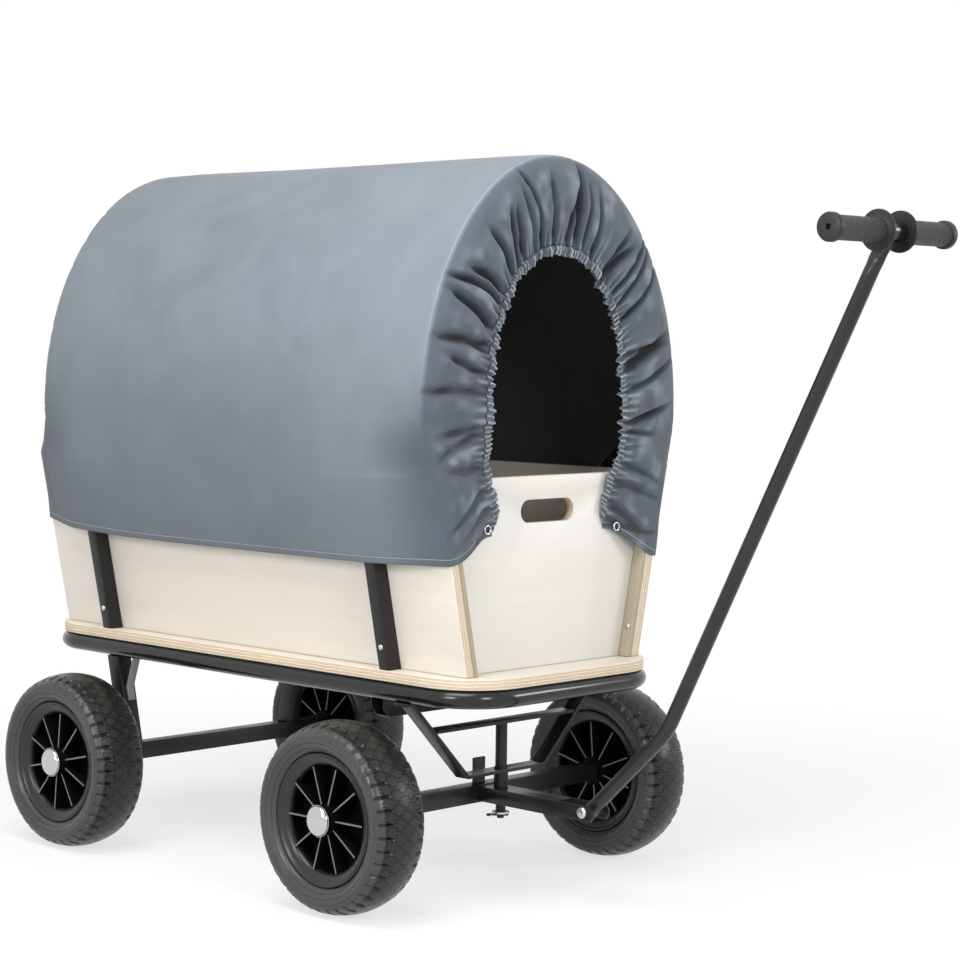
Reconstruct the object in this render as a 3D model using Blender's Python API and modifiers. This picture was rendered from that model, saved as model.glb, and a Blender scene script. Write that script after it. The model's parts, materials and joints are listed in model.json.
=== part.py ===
"""Hand-pulled wagon with a plywood box, a fabric canopy on two hoops and four pneumatic wheels.

+X points forward to the pulling handle, +Y to the wagon's left, +Z up. Lengths are in metres.
Every piece is placed in the cart frame, whose X = 0 is halfway between the axles and whose
Z = 0 is the floor. The root empty then moves the wagon so that X = 0 is the middle of its length.
"""

import math

import bmesh
import bpy
from mathutils import Matrix, Vector

# Gaps
GAP = 0.0003
BUSH_PLAY = 0.0003
CLOTH_CLEARANCE = 0.0011

# Wheels
WHEELBASE = 0.598
TYRE_RADIUS = 0.130
TYRE_HALF_WIDTH = 0.0434
TYRE_TREAD_HALF = 0.027
WHEEL_Y = 0.269
RIM_RADIUS = 0.0893
RIM_HALF_WIDTH = 0.0345
BEAD_HALF_WIDTH = 0.031
RIM_BOWL_RADIUS = 0.072
RIM_LIP = 0.0073
RIB_HALF_WIDTH = 0.029
RIB_THICKNESS = 0.0022
RIB_COUNT = 10
WEB_THICKNESS = 0.006
HUB_RADIUS = 0.0205
HUB_OUTER = 0.040
HUB_INNER = 0.033
CAP_RADIUS = 0.0215
CAP_TOP = 0.0495
CAP_RIM = 0.0012
WHEEL_BUSH_WALL = 0.0042
WHEEL_STEPS = 24
RIB_PHASES = {"front_right": 1.0, "rear_right": 13.0, "front_left": 22.5, "rear_left": 8.0}

# Axles
AXLE_TUBE = 0.025
AXLE_TUBE_WALL = 0.002
AXLE_PLUG = 0.020
AXLE_RADIUS = 0.006
AXLE_END = 0.0435

# Deck
BOARD_LENGTH = 0.950
BOARD_WIDTH = 0.400
BOARD_THICKNESS = 0.015
BOARD_CORNER = 0.086
BOARD_UNDERSIDE = 0.3066
LOAD_FLOOR = (0.400, 0.154)
LOAD_FLOOR_RISE = 0.0002
RIM_TUBE_RADIUS = 0.0128
RIM_TUBE_OVERHANG = 0.0041
FRONT_BAR_X = 0.271
FRONT_BAR_WIDTH = 0.026
FRONT_BAR_HEIGHT = 0.055
FRONT_BAR_CHAMFER = 0.012
REAR_BAR_WIDTH = 0.025
REAR_BAR_HEIGHT = 0.0225
BAR_WALL = 0.002

# Box
BOX_LENGTH = 0.880
BOX_WIDTH_AT_DECK = 0.351
BOX_HEIGHT = 0.2635
FLARE = 0.207
PANEL_THICKNESS = 0.015
END_PANEL_RECESS = 0.0193
END_PANEL_THICKNESS = 0.013
PANEL_EDGE = 0.0012
SLOT_LENGTH = 0.108
SLOT_HEIGHT = 0.032
SLOT_BELOW_TOP = 0.0645
BATTEN_THICKNESS = 0.008
BATTEN_TOP_GAP = 0.012

# Uprights and hoops
UPRIGHT_INSET = {"front": 0.133, "rear": 0.130}
UPRIGHT_LENGTH = 0.019
UPRIGHT_DEPTH = 0.024
UPRIGHT_WALL = 0.0017
UPRIGHT_BELOW_BOX_TOP = 0.0104
HOOP_RADIUS = 0.0075
HOOP_PLUG = 0.070
HOOP_BEND = 0.030
HOOP_LEG_RISE = 0.030
HOOP_STEPS = 22
HOOP_CLEARANCE = 0.0035

# Canopy
CANOPY_SPRING_RISE = 0.0746
CANOPY_BESIDE_BOX = 0.0845
CANOPY_RISE = 0.366
CANOPY_OFF_UPRIGHT = 0.0027
CANOPY_THICKNESS = 0.0020
CREASE_INSET = {"front": 0.009, "rear": 0.045}
HEM_DROP = 0.1164
HEM_RISE = {"front": 0.003, "rear": 0.017}
HEM_RISE_NEAR = {"front": 0.000, "rear": 0.005}
MOUTH_HALF_WIDTH = 0.130
MOUTH_RISE = 0.228
MOUTH_POWER = 2.3
MOUTH_FOOT_HALF_WIDTH = 0.112
MOUTH_FOOT_DROP = 0.0804
WALL_BULGE = 0.014
FOLD_DEPTH = 0.004
BOX_SHOULDER = 0.005
TUCK_ROWS = 3
SHOULDER_ROWS = 2
ARCH_ROWS = 12
WALL_SPLITS = (0.40, 0.75)
SIDE_SPLITS = (0.12, 0.30, 0.50, 0.70, 0.88)
GROMMET_RADIUS = 0.006
GROMMET_TUBE = 0.001

# Steering
KINGPIN_X = 0.338
STRAP_WIDTH = 0.025
STRAP_THICKNESS = 0.005
HANGER_FOOT_HALF = 0.077
HANGER_FOOT_HEIGHT = 0.166
HANGER_TOP_HALF = 0.186
HANGER_TAB = 0.013
CROSS_STRAP_HEIGHT = 0.2355
KINGPIN_RADIUS = 0.0082
KINGPIN_COLLAR_RADIUS = 0.0096
KINGPIN_COLLAR = 0.003
KINGPIN_NECK_RADIUS = 0.005
KINGPIN_BOTTOM = 0.098
STEERING_BUSH_RADIUS = 0.010
STEERING_NECK_RADIUS = 0.007
STEERING_BUSH_BOTTOM = 0.1075
WASHER_RADIUS = 0.0125
WASHER_THICKNESS = 0.0025
COTTER_RADIUS = 0.0015
COTTER_DROP = 0.0035
COTTER_REACH = 0.011
COTTER_EYE = 0.004
COTTER_TURN = 225.0
STOP_TAB_Y = -0.005
STOP_TAB_WIDTH = 0.0238
STOP_TAB_THICKNESS = 0.004
STOP_TAB_TOP = 0.1795
DRAWBAR_HALF_WIDTH = 0.0175
DRAWBAR_WALL = 0.003
DRAWBAR_BOTTOM = 0.120
DRAWBAR_TOP = 0.141
DRAWBAR_END = 0.5265
DRAWBAR_WEB_END = 0.460
DRAWBAR_CLIP = 0.006

# Handle
BOLT_X = 0.5075
BOLT_Z = 0.132
BOLT_RADIUS = 0.004
BOLT_HEAD_RADIUS = 0.008
BOLT_HEAD = 0.0042
NUT_RADIUS = 0.0068
NUT_HEIGHT = 0.0065
HANDLE_BUSH_RADIUS = 0.0075
HANDLE_RADIUS = 0.0098
HANDLE_LOWER_SLOPE = 43.0
HANDLE_BEND_X = 0.6394
HANDLE_BEND_RADIUS = 0.12
HANDLE_BEND_STEPS = 6
HANDLE_END_OVERLAP = 0.012
CRIMP_LENGTH = 0.050
CRIMP_SHARE = 0.30
CRIMP_WIDENING = 1.25
CROSSBAR_X = 0.978
CROSSBAR_Z = 0.909
CROSSBAR_RADIUS = 0.008
CROSSBAR_COLLAR_RADIUS = 0.013
CROSSBAR_COLLAR_HALF = 0.0215
GRIP_END = 0.125
GRIP_RADIUS = 0.01525
GRIP_CAP_RADIUS = 0.018
GRIP_CAP_LENGTH = 0.008
GRIP_FLANGE_RADIUS = 0.026
GRIP_FLANGE_THICKNESS = 0.0028
GRIP_END_WALL = 0.004

# Rear undercarriage
STRUT_SIZE = 0.0255
STRUT_WALL = 0.002
STRUT_TOP_Y = 0.1845
STRUT_FOOT_Y = 0.160
BRACE_Y = 0.1745
BRACE_WIDTH = 0.013
BRACE_THICKNESS = 0.003
BRACE_FOOT_HEIGHT = 0.2115
BRACE_BEND_HEIGHT = 0.232
BRACE_TOP_X = -0.2575

SIDES = {"right": -1, "left": 1}
ENDS = {"front": 1, "rear": -1}

# Places that follow from the sizes above
AXLE_Z = TYRE_RADIUS
AXLE_X = {"front": WHEELBASE / 2, "rear": -WHEELBASE / 2}
AXLE_TOP = AXLE_Z + AXLE_TUBE / 2
BOARD_TOP = BOARD_UNDERSIDE + BOARD_THICKNESS
RIM_TUBE_Z = BOARD_UNDERSIDE - GAP - RIM_TUBE_RADIUS
RIM_TUBE_HALF_X = BOARD_LENGTH / 2 + RIM_TUBE_OVERHANG - RIM_TUBE_RADIUS
RIM_TUBE_HALF_Y = BOARD_WIDTH / 2 + RIM_TUBE_OVERHANG - RIM_TUBE_RADIUS
RIM_TUBE_CORNER = BOARD_CORNER + RIM_TUBE_OVERHANG - RIM_TUBE_RADIUS
RIM_TUBE_BOTTOM = RIM_TUBE_Z - RIM_TUBE_RADIUS
BOX_BOTTOM = BOARD_TOP + GAP
BOX_TOP = BOX_BOTTOM + BOX_HEIGHT
PANEL_ACROSS = PANEL_THICKNESS * math.sqrt(1 + FLARE**2)
UPRIGHT_TOP = BOX_TOP - UPRIGHT_BELOW_BOX_TOP
CANOPY_SPRING = BOX_TOP + CANOPY_SPRING_RISE
CANOPY_HALF_WIDTH = BOX_WIDTH_AT_DECK / 2 + CANOPY_BESIDE_BOX
HOOP_LEG_TOP = CANOPY_SPRING + HOOP_LEG_RISE
HEM_HEIGHT = BOX_TOP - HEM_DROP
MOUTH_FOOT_HEIGHT = BOX_TOP - MOUTH_FOOT_DROP
UPRIGHT_X = {end: sign * (BOX_LENGTH / 2 - UPRIGHT_INSET[end]) for end, sign in ENDS.items()}
CREASE_X = {end: sign * (BOX_LENGTH / 2 - CREASE_INSET[end]) for end, sign in ENDS.items()}
HUB_BORE = AXLE_RADIUS + BUSH_PLAY + WHEEL_BUSH_WALL + GAP
HOOP_ARCH_HALF_WIDTH = CANOPY_HALF_WIDTH - CANOPY_THICKNESS / 2 - HOOP_RADIUS - HOOP_CLEARANCE
HOOP_ARCH_RISE = CANOPY_RISE - CANOPY_THICKNESS / 2 - HOOP_RADIUS - HOOP_CLEARANCE
HOOP_X = {end: CREASE_X[end] - sign * (HOOP_RADIUS + CANOPY_THICKNESS + 0.001) for end, sign in ENDS.items()}
CROSS_STRAP_TOP = CROSS_STRAP_HEIGHT + STRAP_THICKNESS / 2
HANGER_FOOT_BOTTOM = HANGER_FOOT_HEIGHT - STRAP_THICKNESS / 2
HANGER_FOOT_TOP = HANGER_FOOT_HEIGHT + STRAP_THICKNESS / 2
WASHER_TOP = STEERING_BUSH_BOTTOM - GAP
COTTER_Z = WASHER_TOP - WASHER_THICKNESS - GAP - COTTER_DROP / 2 - COTTER_RADIUS / 2
REAR_END = -RIM_TUBE_HALF_X - RIM_TUBE_RADIUS
FRONT_END = CROSSBAR_X + GRIP_FLANGE_RADIUS
MIDDLE_X = (REAR_END + FRONT_END) / 2


def clear_scene():
    for obj in list(bpy.data.objects):
        bpy.data.objects.remove(obj)


def make_collection(name):
    collection = bpy.data.collections.new(name)
    bpy.context.scene.collection.children.link(collection)
    return collection


def make_material(name, colour, roughness, metallic=0.0):
    material = bpy.data.materials.new(name)
    material.use_nodes = True
    shader = material.node_tree.nodes["Principled BSDF"]
    shader.inputs["Base Color"].default_value = (*colour, 1.0)
    shader.inputs["Roughness"].default_value = roughness
    shader.inputs["Metallic"].default_value = metallic
    return material


def make_empty(name, place, parent=None):
    empty = bpy.data.objects.new(name, None)
    PARTS.objects.link(empty)
    empty.location = place
    if parent:
        attach(empty, parent)
    return empty


def attach(obj, parent):
    """Parents obj and keeps it where it is."""
    bpy.context.view_layer.update()
    obj.parent = parent
    obj.matrix_parent_inverse = parent.matrix_world.inverted()


def add_piece(name, data, material, parent):
    obj = bpy.data.objects.new(name, data)
    PARTS.objects.link(obj)
    obj.data.materials.append(material)
    attach(obj, parent)
    return obj


def smooth(mesh, angle=35.0):
    mesh.shade_smooth()
    mesh.set_sharp_from_angle(angle=math.radians(angle))


def box_mesh(name, low, high):
    """A box between two corners."""
    low, high = Vector(low), Vector(high)
    shape = bmesh.new()
    bmesh.ops.create_cube(shape, size=1.0)
    bmesh.ops.scale(shape, vec=high - low, verts=shape.verts)
    bmesh.ops.translate(shape, vec=(high + low) / 2, verts=shape.verts)
    mesh = bpy.data.meshes.new(name)
    shape.to_mesh(mesh)
    shape.free()
    return mesh


def leaning_box_mesh(name, low, high, lean):
    """A box whose faces across Y lean: y grows by lean for each metre of height above low.z."""
    mesh = box_mesh(name, low, high)
    for vertex in mesh.vertices:
        vertex.co.y += lean * (vertex.co.z - low[2])
    return mesh


def cylinder_mesh(name, radius, start, end, sides=16):
    """A cylinder from start to end."""
    start, end = Vector(start), Vector(end)
    shape = bmesh.new()
    length = (end - start).length
    bmesh.ops.create_cone(shape, cap_ends=True, segments=sides, radius1=radius, radius2=radius, depth=length)
    turn = Vector((0, 0, 1)).rotation_difference(end - start).to_matrix().to_4x4()
    bmesh.ops.transform(shape, matrix=Matrix.Translation((start + end) / 2) @ turn, verts=shape.verts)
    mesh = bpy.data.meshes.new(name)
    shape.to_mesh(mesh)
    shape.free()
    return mesh


def turned_mesh(name, profile, steps, closed):
    """A profile of (radius, height) points, which the Screw modifier turns about Z."""
    mesh = bpy.data.meshes.new(name)
    shape = bmesh.new()
    corners = [shape.verts.new((radius, 0.0, height)) for radius, height in profile]
    pairs = list(zip(corners, corners[1:]))
    if closed:
        pairs.append((corners[-1], corners[0]))
    for pair in pairs:
        shape.edges.new(pair)
    shape.to_mesh(mesh)
    shape.free()
    return mesh


def add_turned(name, profile, material, parent, place, direction, steps=WHEEL_STEPS, closed=False):
    """Turns a profile about the line through place along direction."""
    obj = add_piece(name, turned_mesh(name, profile, steps, closed), material, parent)
    obj.rotation_mode = "QUATERNION"
    obj.rotation_quaternion = turn_down(direction)
    obj.location = place
    screw = obj.modifiers.new("Turn", "SCREW")
    screw.steps = steps
    screw.render_steps = steps
    screw.use_merge_vertices = True
    screw.merge_threshold = 0.00001
    screw.use_smooth_shade = True
    return obj


def turn_down(direction):
    """The rotation that takes Z to direction, with the profile's X pointing down where it can."""
    axis = Vector(direction)
    down = Vector((0, 0, -1)) if abs(axis.z) < 0.5 else Vector((1, 0, 0))
    across = axis.cross(down)
    return Matrix((down, across, axis)).transposed().to_quaternion()


def outline_curve(name, points, half_depth):
    """A flat closed outline, filled and extruded."""
    curve = bpy.data.curves.new(name, "CURVE")
    curve.dimensions = "2D"
    curve.fill_mode = "BOTH"
    curve.extrude = half_depth
    spline = curve.splines.new("POLY")
    spline.points.add(len(points) - 1)
    for point, (x, y) in zip(spline.points, points):
        point.co = (x, y, 0.0, 1.0)
    spline.use_cyclic_u = True
    return curve


def tube_curve(name, points, radius, cyclic=False, resolution=2):
    """A round tube or rod along points, its ends capped."""
    curve = bpy.data.curves.new(name, "CURVE")
    curve.dimensions = "3D"
    curve.bevel_depth = radius
    curve.bevel_resolution = resolution
    curve.use_fill_caps = True
    spline = curve.splines.new("POLY")
    spline.points.add(len(points) - 1)
    for point, place in zip(spline.points, points):
        point.co = (*place, 1.0)
    spline.use_cyclic_u = cyclic
    return curve


def as_mesh(obj):
    """Replaces a curve object by a mesh object of the same name, place, material and parent."""
    bpy.context.view_layer.update()
    evaluated = obj.evaluated_get(bpy.context.evaluated_depsgraph_get())
    mesh = bpy.data.meshes.new_from_object(evaluated)
    shape = bmesh.new()
    shape.from_mesh(mesh)
    bmesh.ops.remove_doubles(shape, verts=shape.verts, dist=0.00001)
    bmesh.ops.recalc_face_normals(shape, faces=shape.faces)
    shape.to_mesh(mesh)
    shape.free()
    name, parent, place = obj.name, obj.parent, obj.matrix_world.copy()
    collection = obj.users_collection[0]
    bpy.data.objects.remove(obj)
    made = bpy.data.objects.new(name, mesh)
    collection.objects.link(made)
    made.matrix_world = place
    if parent:
        attach(made, parent)
    return made


def make_cutter(name, data):
    obj = bpy.data.objects.new(name, data)
    CUTTERS.objects.link(obj)
    obj.hide_render = True
    obj.display_type = "WIRE"
    attach(obj, ROOT)
    return obj


def cut(obj, cutter, operation="DIFFERENCE"):
    modifier = obj.modifiers.new(cutter.name, "BOOLEAN")
    modifier.object = cutter
    modifier.operation = operation


def soften(obj, width):
    """Takes the sharpness off a board's or plate's edges."""
    bevel = obj.modifiers.new("Edge", "BEVEL")
    bevel.width = width
    bevel.segments = 1
    bevel.limit_method = "ANGLE"


def rounded_rectangle(half_x, half_y, radius, steps):
    """The corner points of a rectangle with round corners, anticlockwise."""
    points = []
    for quarter, (sx, sy) in enumerate(((1, 1), (-1, 1), (-1, -1), (1, -1))):
        for step in range(steps + 1):
            angle = math.radians(90 * (quarter + step / steps))
            points.append(
                (
                    sx * (half_x - radius) + radius * math.cos(angle),
                    sy * (half_y - radius) + radius * math.sin(angle),
                )
            )
    return points


def rounded_path(corners, radii, steps):
    """A path through corners, each inner one rounded to its radius by an arc of that many steps."""
    corners = [Vector(corner) for corner in corners]
    points = [corners[0]]
    for before, corner, after, radius in zip(corners, corners[1:], corners[2:], radii):
        back = (before - corner).normalized()
        on = (after - corner).normalized()
        half = back.angle(on) / 2
        reach = radius / math.tan(half)
        centre = corner + (back + on).normalized() * (radius / math.sin(half))
        first = corner + back * reach - centre
        turn = math.pi - 2 * half
        axis = first.cross(corner + on * reach - centre).normalized()
        for step in range(steps + 1):
            points.append(centre + Matrix.Rotation(turn * step / steps, 3, axis) @ first)
    points.append(corners[-1])
    return points


def strap_outline(path, half_thickness):
    """The outline of a flat strap bent along a path of (across, up) points, with mitred bends."""
    path = [Vector(point) for point in path]
    upper, lower = [], []
    for index, point in enumerate(path):
        legs = []
        if index > 0:
            legs.append((point - path[index - 1]).normalized())
        if index < len(path) - 1:
            legs.append((path[index + 1] - point).normalized())
        normals = [Vector((-leg.y, leg.x)) for leg in legs]
        mitre = sum(normals, Vector((0, 0))).normalized()
        offset = mitre * (half_thickness / mitre.dot(normals[0]))
        upper.append(point + offset)
        lower.append(point - offset)
    return [tuple(point) for point in upper + lower[::-1]]


def add_strap(name, path, thickness, x, material, parent):
    """A strap whose bends lie in the YZ plane at x, as wide along X as STRAP_WIDTH."""
    curve = outline_curve(name, strap_outline(path, thickness / 2), STRAP_WIDTH / 2)
    obj = add_piece(name, curve, material, parent)
    obj.matrix_world = Matrix.Translation((x, 0, 0)) @ Matrix(((0, 0, 1), (1, 0, 0), (0, 1, 0))).to_4x4()
    return as_mesh(obj)


# Wheels


def tyre_profile():
    """The tyre's section: a flat bead seat inside, bulging walls and a round tread outside."""
    seat = RIM_RADIUS + GAP
    wall = [
        (seat, BEAD_HALF_WIDTH),
        (seat + 0.20 * (TYRE_RADIUS - seat), TYRE_HALF_WIDTH * 0.92),
        (seat + 0.48 * (TYRE_RADIUS - seat), TYRE_HALF_WIDTH),
        (seat + 0.74 * (TYRE_RADIUS - seat), TYRE_HALF_WIDTH * 0.89),
        (seat + 0.91 * (TYRE_RADIUS - seat), TYRE_TREAD_HALF),
        (TYRE_RADIUS, TYRE_TREAD_HALF * 0.32),
    ]
    return wall + [(radius, -height) for radius, height in reversed(wall)]


def rim_profile():
    """The rim's section: hub, web, bowl and lip, with the hub longer on the outer side."""
    hub = [(HUB_BORE, HUB_OUTER), (HUB_RADIUS, HUB_OUTER)]
    face = [
        (HUB_RADIUS, WEB_THICKNESS / 2),
        (RIM_BOWL_RADIUS, WEB_THICKNESS / 2),
        (RIM_BOWL_RADIUS, RIB_HALF_WIDTH),
        (RIM_RADIUS - RIM_LIP, RIM_HALF_WIDTH),
        (RIM_RADIUS, RIM_HALF_WIDTH),
    ]
    inner = [(radius, -height) for radius, height in reversed(face)]
    return hub + face + inner + [(HUB_RADIUS, -HUB_INNER), (HUB_BORE, -HUB_INNER)]


def cap_profile():
    """A domed push-on cap with a recess for the axle's end."""
    seat = HUB_OUTER + GAP
    dome = []
    for step in range(5):
        angle = math.radians(90 * step / 4)
        height = seat + CAP_RIM + (CAP_TOP - seat - CAP_RIM) * math.cos(angle)
        dome.append((CAP_RADIUS * math.sin(angle), height))
    recess = AXLE_RADIUS + BUSH_PLAY
    return dome + [(CAP_RADIUS, seat), (recess, seat), (recess, AXLE_END + GAP), (0.0, AXLE_END + GAP)]


def add_wheel(end, side):
    """Tyre, rim, bush and cap, on an empty at the wheel's centre."""
    name = f"{end}_{side}"
    sign = SIDES[side]
    centre = Vector((AXLE_X[end], sign * WHEEL_Y, AXLE_Z))
    outward = (0, sign, 0)
    hub = make_empty(f"{name}_wheel", centre, ROOT if end == "rear" else STEERING)
    add_turned(f"{name}_tyre", tyre_profile(), TYRE_RUBBER, hub, centre, outward, closed=True)
    rim = add_turned(f"{name}_rim", rim_profile(), RIM_PLASTIC, hub, centre, outward, closed=True)
    rib_inner = HUB_RADIUS - 0.002
    rib_outer = RIM_BOWL_RADIUS + 0.002
    for index in range(RIB_COUNT):
        rib = make_cutter(
            f"{name}_rib_{index}",
            box_mesh(
                "rib",
                (rib_inner, -RIB_HALF_WIDTH, -RIB_THICKNESS / 2),
                (rib_outer, RIB_HALF_WIDTH, RIB_THICKNESS / 2),
            ),
        )
        angle = RIB_PHASES[name] + 360 * index / RIB_COUNT
        rib.matrix_world = Matrix.Translation(centre) @ Matrix.Rotation(math.radians(-angle), 4, "Y")
        cut(rim, rib, "UNION")
    bush = [
        (HUB_BORE - GAP, HUB_OUTER),
        (HUB_BORE - GAP, -HUB_INNER),
        (AXLE_RADIUS + BUSH_PLAY, -HUB_INNER),
        (AXLE_RADIUS + BUSH_PLAY, HUB_OUTER),
    ]
    add_turned(f"{name}_bush", bush, NYLON, hub, centre, outward, steps=16, closed=True)
    add_turned(f"{name}_cap", cap_profile(), CHROME, hub, centre, outward, steps=16)


def add_axle(end, parent):
    """A square axle tube with drilled end plugs, and the axle rod that runs through it."""
    x = AXLE_X[end]
    half = AXLE_TUBE / 2
    length = WHEEL_Y - HUB_INNER - GAP
    tube = add_piece(
        f"{end}_axle_tube",
        box_mesh("axle_tube", (x - half, -length, AXLE_Z - half), (x + half, length, AXLE_Z + half)),
        BLACK_STEEL,
        parent,
    )
    inside = half - AXLE_TUBE_WALL
    core = length - AXLE_PLUG
    hollow = box_mesh("hollow", (x - inside, -core, AXLE_Z - inside), (x + inside, core, AXLE_Z + inside))
    cut(tube, make_cutter(f"{end}_axle_hollow", hollow))
    bore = cylinder_mesh(
        "bore", AXLE_RADIUS + GAP, (x, -length - 0.01, AXLE_Z), (x, length + 0.01, AXLE_Z)
    )
    cut(tube, make_cutter(f"{end}_axle_bore", bore))
    reach = WHEEL_Y + AXLE_END
    rod = cylinder_mesh("axle_rod", AXLE_RADIUS, (x, -reach, AXLE_Z), (x, reach, AXLE_Z))
    smooth(rod)
    add_piece(f"{end}_axle_rod", rod, ZINC, parent)
    return tube


# Deck


def board_mesh(name, outline, bottom, top, floor, rise):
    """A board between two heights. The part of its top that a load stands on is a hair higher."""
    shape = bmesh.new()
    upper = [shape.verts.new((x, y, top)) for x, y in outline]
    lower = [shape.verts.new((x, y, bottom)) for x, y in outline]
    corners = [(sx * floor[0], sy * floor[1]) for sx, sy in ((1, 1), (-1, 1), (-1, -1), (1, -1))]
    inner = [shape.verts.new((x, y, top)) for x, y in corners]
    raised = [shape.verts.new((x, y, top + rise)) for x, y in corners]
    shape.faces.new(lower[::-1])
    shape.faces.new(raised)
    for index in range(4):
        on = (index + 1) % 4
        shape.faces.new((inner[index], inner[on], raised[on], raised[index]))
    for index in range(len(outline)):
        on = (index + 1) % len(outline)
        shape.faces.new((lower[index], lower[on], upper[on], upper[index]))
    edges = [shape.edges.get((a, b)) for loop in (upper, inner) for a, b in zip(loop, loop[1:] + loop[:1])]
    bmesh.ops.triangle_fill(shape, use_beauty=True, use_dissolve=False, edges=edges)
    bmesh.ops.recalc_face_normals(shape, faces=shape.faces)
    mesh = bpy.data.meshes.new(name)
    shape.to_mesh(mesh)
    shape.free()
    return mesh


def add_deck():
    outline = rounded_rectangle(BOARD_LENGTH / 2, BOARD_WIDTH / 2, BOARD_CORNER, 8)
    board = board_mesh("deck_board", outline, BOARD_UNDERSIDE, BOARD_TOP, LOAD_FLOOR, LOAD_FLOOR_RISE)
    add_piece("deck_board", board, PLYWOOD, ROOT)
    ring = rounded_rectangle(RIM_TUBE_HALF_X, RIM_TUBE_HALF_Y, RIM_TUBE_CORNER, 6)
    rim = add_piece(
        "deck_rim",
        tube_curve("deck_rim", [(x, y, RIM_TUBE_Z) for x, y in ring], RIM_TUBE_RADIUS, True, 4),
        BLACK_STEEL,
        ROOT,
    )
    rim.data.materials[0] = BLACK_STEEL


def add_crossbar(name, x, width, height):
    """A hollow bar welded between the rim tube's two sides, under the board."""
    half = width / 2
    reach = RIM_TUBE_HALF_Y - RIM_TUBE_RADIUS - GAP
    top = BOARD_UNDERSIDE - GAP
    bar = add_piece(
        name,
        box_mesh(name, (x - half, -reach, top - height), (x + half, reach, top)),
        BLACK_STEEL,
        ROOT,
    )
    hollow = box_mesh(
        "hollow",
        (x - half + BAR_WALL, -reach - 0.01, top - height + BAR_WALL),
        (x + half - BAR_WALL, reach + 0.01, top - BAR_WALL),
    )
    cut(bar, make_cutter(f"{name}_hollow", hollow))
    return bar, reach, top - height


def add_crossbars():
    bar, reach, bottom = add_crossbar("front_crossbar", FRONT_BAR_X, FRONT_BAR_WIDTH, FRONT_BAR_HEIGHT)
    for side, sign in SIDES.items():
        size = FRONT_BAR_CHAMFER * math.sqrt(2)
        clip = make_cutter(
            f"front_crossbar_clip_{side}",
            box_mesh("clip", (-FRONT_BAR_WIDTH, -size / 2, -size / 2), (FRONT_BAR_WIDTH, size / 2, size / 2)),
        )
        clip.location = (FRONT_BAR_X, sign * reach, bottom)
        clip.rotation_euler.x = math.radians(45)
        cut(bar, clip)
    add_crossbar("rear_crossbar", AXLE_X["rear"], REAR_BAR_WIDTH, REAR_BAR_HEIGHT)


# Box


def panel_outside(z):
    """Half the box's width across the outer faces of its side panels, at height z."""
    return BOX_WIDTH_AT_DECK / 2 + FLARE * (z - BOX_BOTTOM)


def leaning_piece(name, x_low, x_high, inner, outer, bottom, top, side, material):
    """A piece that follows the side panels' flare. inner and outer are half widths at the box's bottom."""
    sign = SIDES[side]
    inner += FLARE * (bottom - BOX_BOTTOM)
    outer += FLARE * (bottom - BOX_BOTTOM)
    low_y, high_y = sorted((sign * inner, sign * outer))
    mesh = leaning_box_mesh(name, (x_low, low_y, bottom), (x_high, high_y, top), sign * FLARE)
    return add_piece(name, mesh, material, ROOT)


def add_side_panel(side):
    half = BOX_LENGTH / 2
    outer = BOX_WIDTH_AT_DECK / 2
    panel = leaning_piece(
        f"side_panel_{side}", -half, half, outer - PANEL_ACROSS, outer, BOX_BOTTOM, BOX_TOP, side, PLYWOOD
    )
    soften(panel, PANEL_EDGE)


def add_end_panel(end):
    """An upright board between the side panels, with a slot for the hand."""
    sign = ENDS[end]
    outer_face = BOX_LENGTH / 2 - END_PANEL_RECESS
    low_x, high_x = sorted((sign * outer_face, sign * (outer_face - END_PANEL_THICKNESS)))
    half = BOX_WIDTH_AT_DECK / 2 - PANEL_ACROSS - GAP
    mesh = box_mesh(f"{end}_panel", (low_x, -half, BOX_BOTTOM), (high_x, half, BOX_TOP))
    for vertex in mesh.vertices:
        if vertex.co.z > BOX_BOTTOM + BOX_HEIGHT / 2:
            vertex.co.y += math.copysign(FLARE * BOX_HEIGHT, vertex.co.y)
    panel = add_piece(f"{end}_panel", mesh, PLYWOOD, ROOT)
    soften(panel, PANEL_EDGE)
    radius = SLOT_HEIGHT / 2
    slot = make_cutter(
        f"{end}_slot",
        outline_curve(
            "slot", rounded_rectangle(SLOT_LENGTH / 2, SLOT_HEIGHT / 2, radius * 0.999, 5), END_PANEL_THICKNESS
        ),
    )
    slot.matrix_world = Matrix.Translation(
        (sign * (outer_face - END_PANEL_THICKNESS / 2), 0, BOX_TOP - SLOT_BELOW_TOP + SLOT_HEIGHT / 2)
    ) @ Matrix(((0, 0, 1), (1, 0, 0), (0, 1, 0))).to_4x4()
    slot = as_mesh(slot)
    slot.hide_render = True
    slot.display_type = "WIRE"
    cut(panel, slot)


def add_batten(end, side):
    """A strip screwed to the side panel's inner face, which holds the end panel in its place."""
    sign = ENDS[end]
    near = sign * (BOX_LENGTH / 2 - END_PANEL_RECESS + GAP)
    far = sign * BOX_LENGTH / 2
    low_x, high_x = sorted((near, far))
    outer = BOX_WIDTH_AT_DECK / 2 - PANEL_ACROSS - GAP
    batten = leaning_piece(
        f"{end}_{side}_batten",
        low_x,
        high_x,
        outer - BATTEN_THICKNESS,
        outer,
        BOX_BOTTOM,
        BOX_TOP - BATTEN_TOP_GAP,
        side,
        BATTEN_PAINT,
    )
    soften(batten, PANEL_EDGE)


# Uprights and hoops


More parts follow.
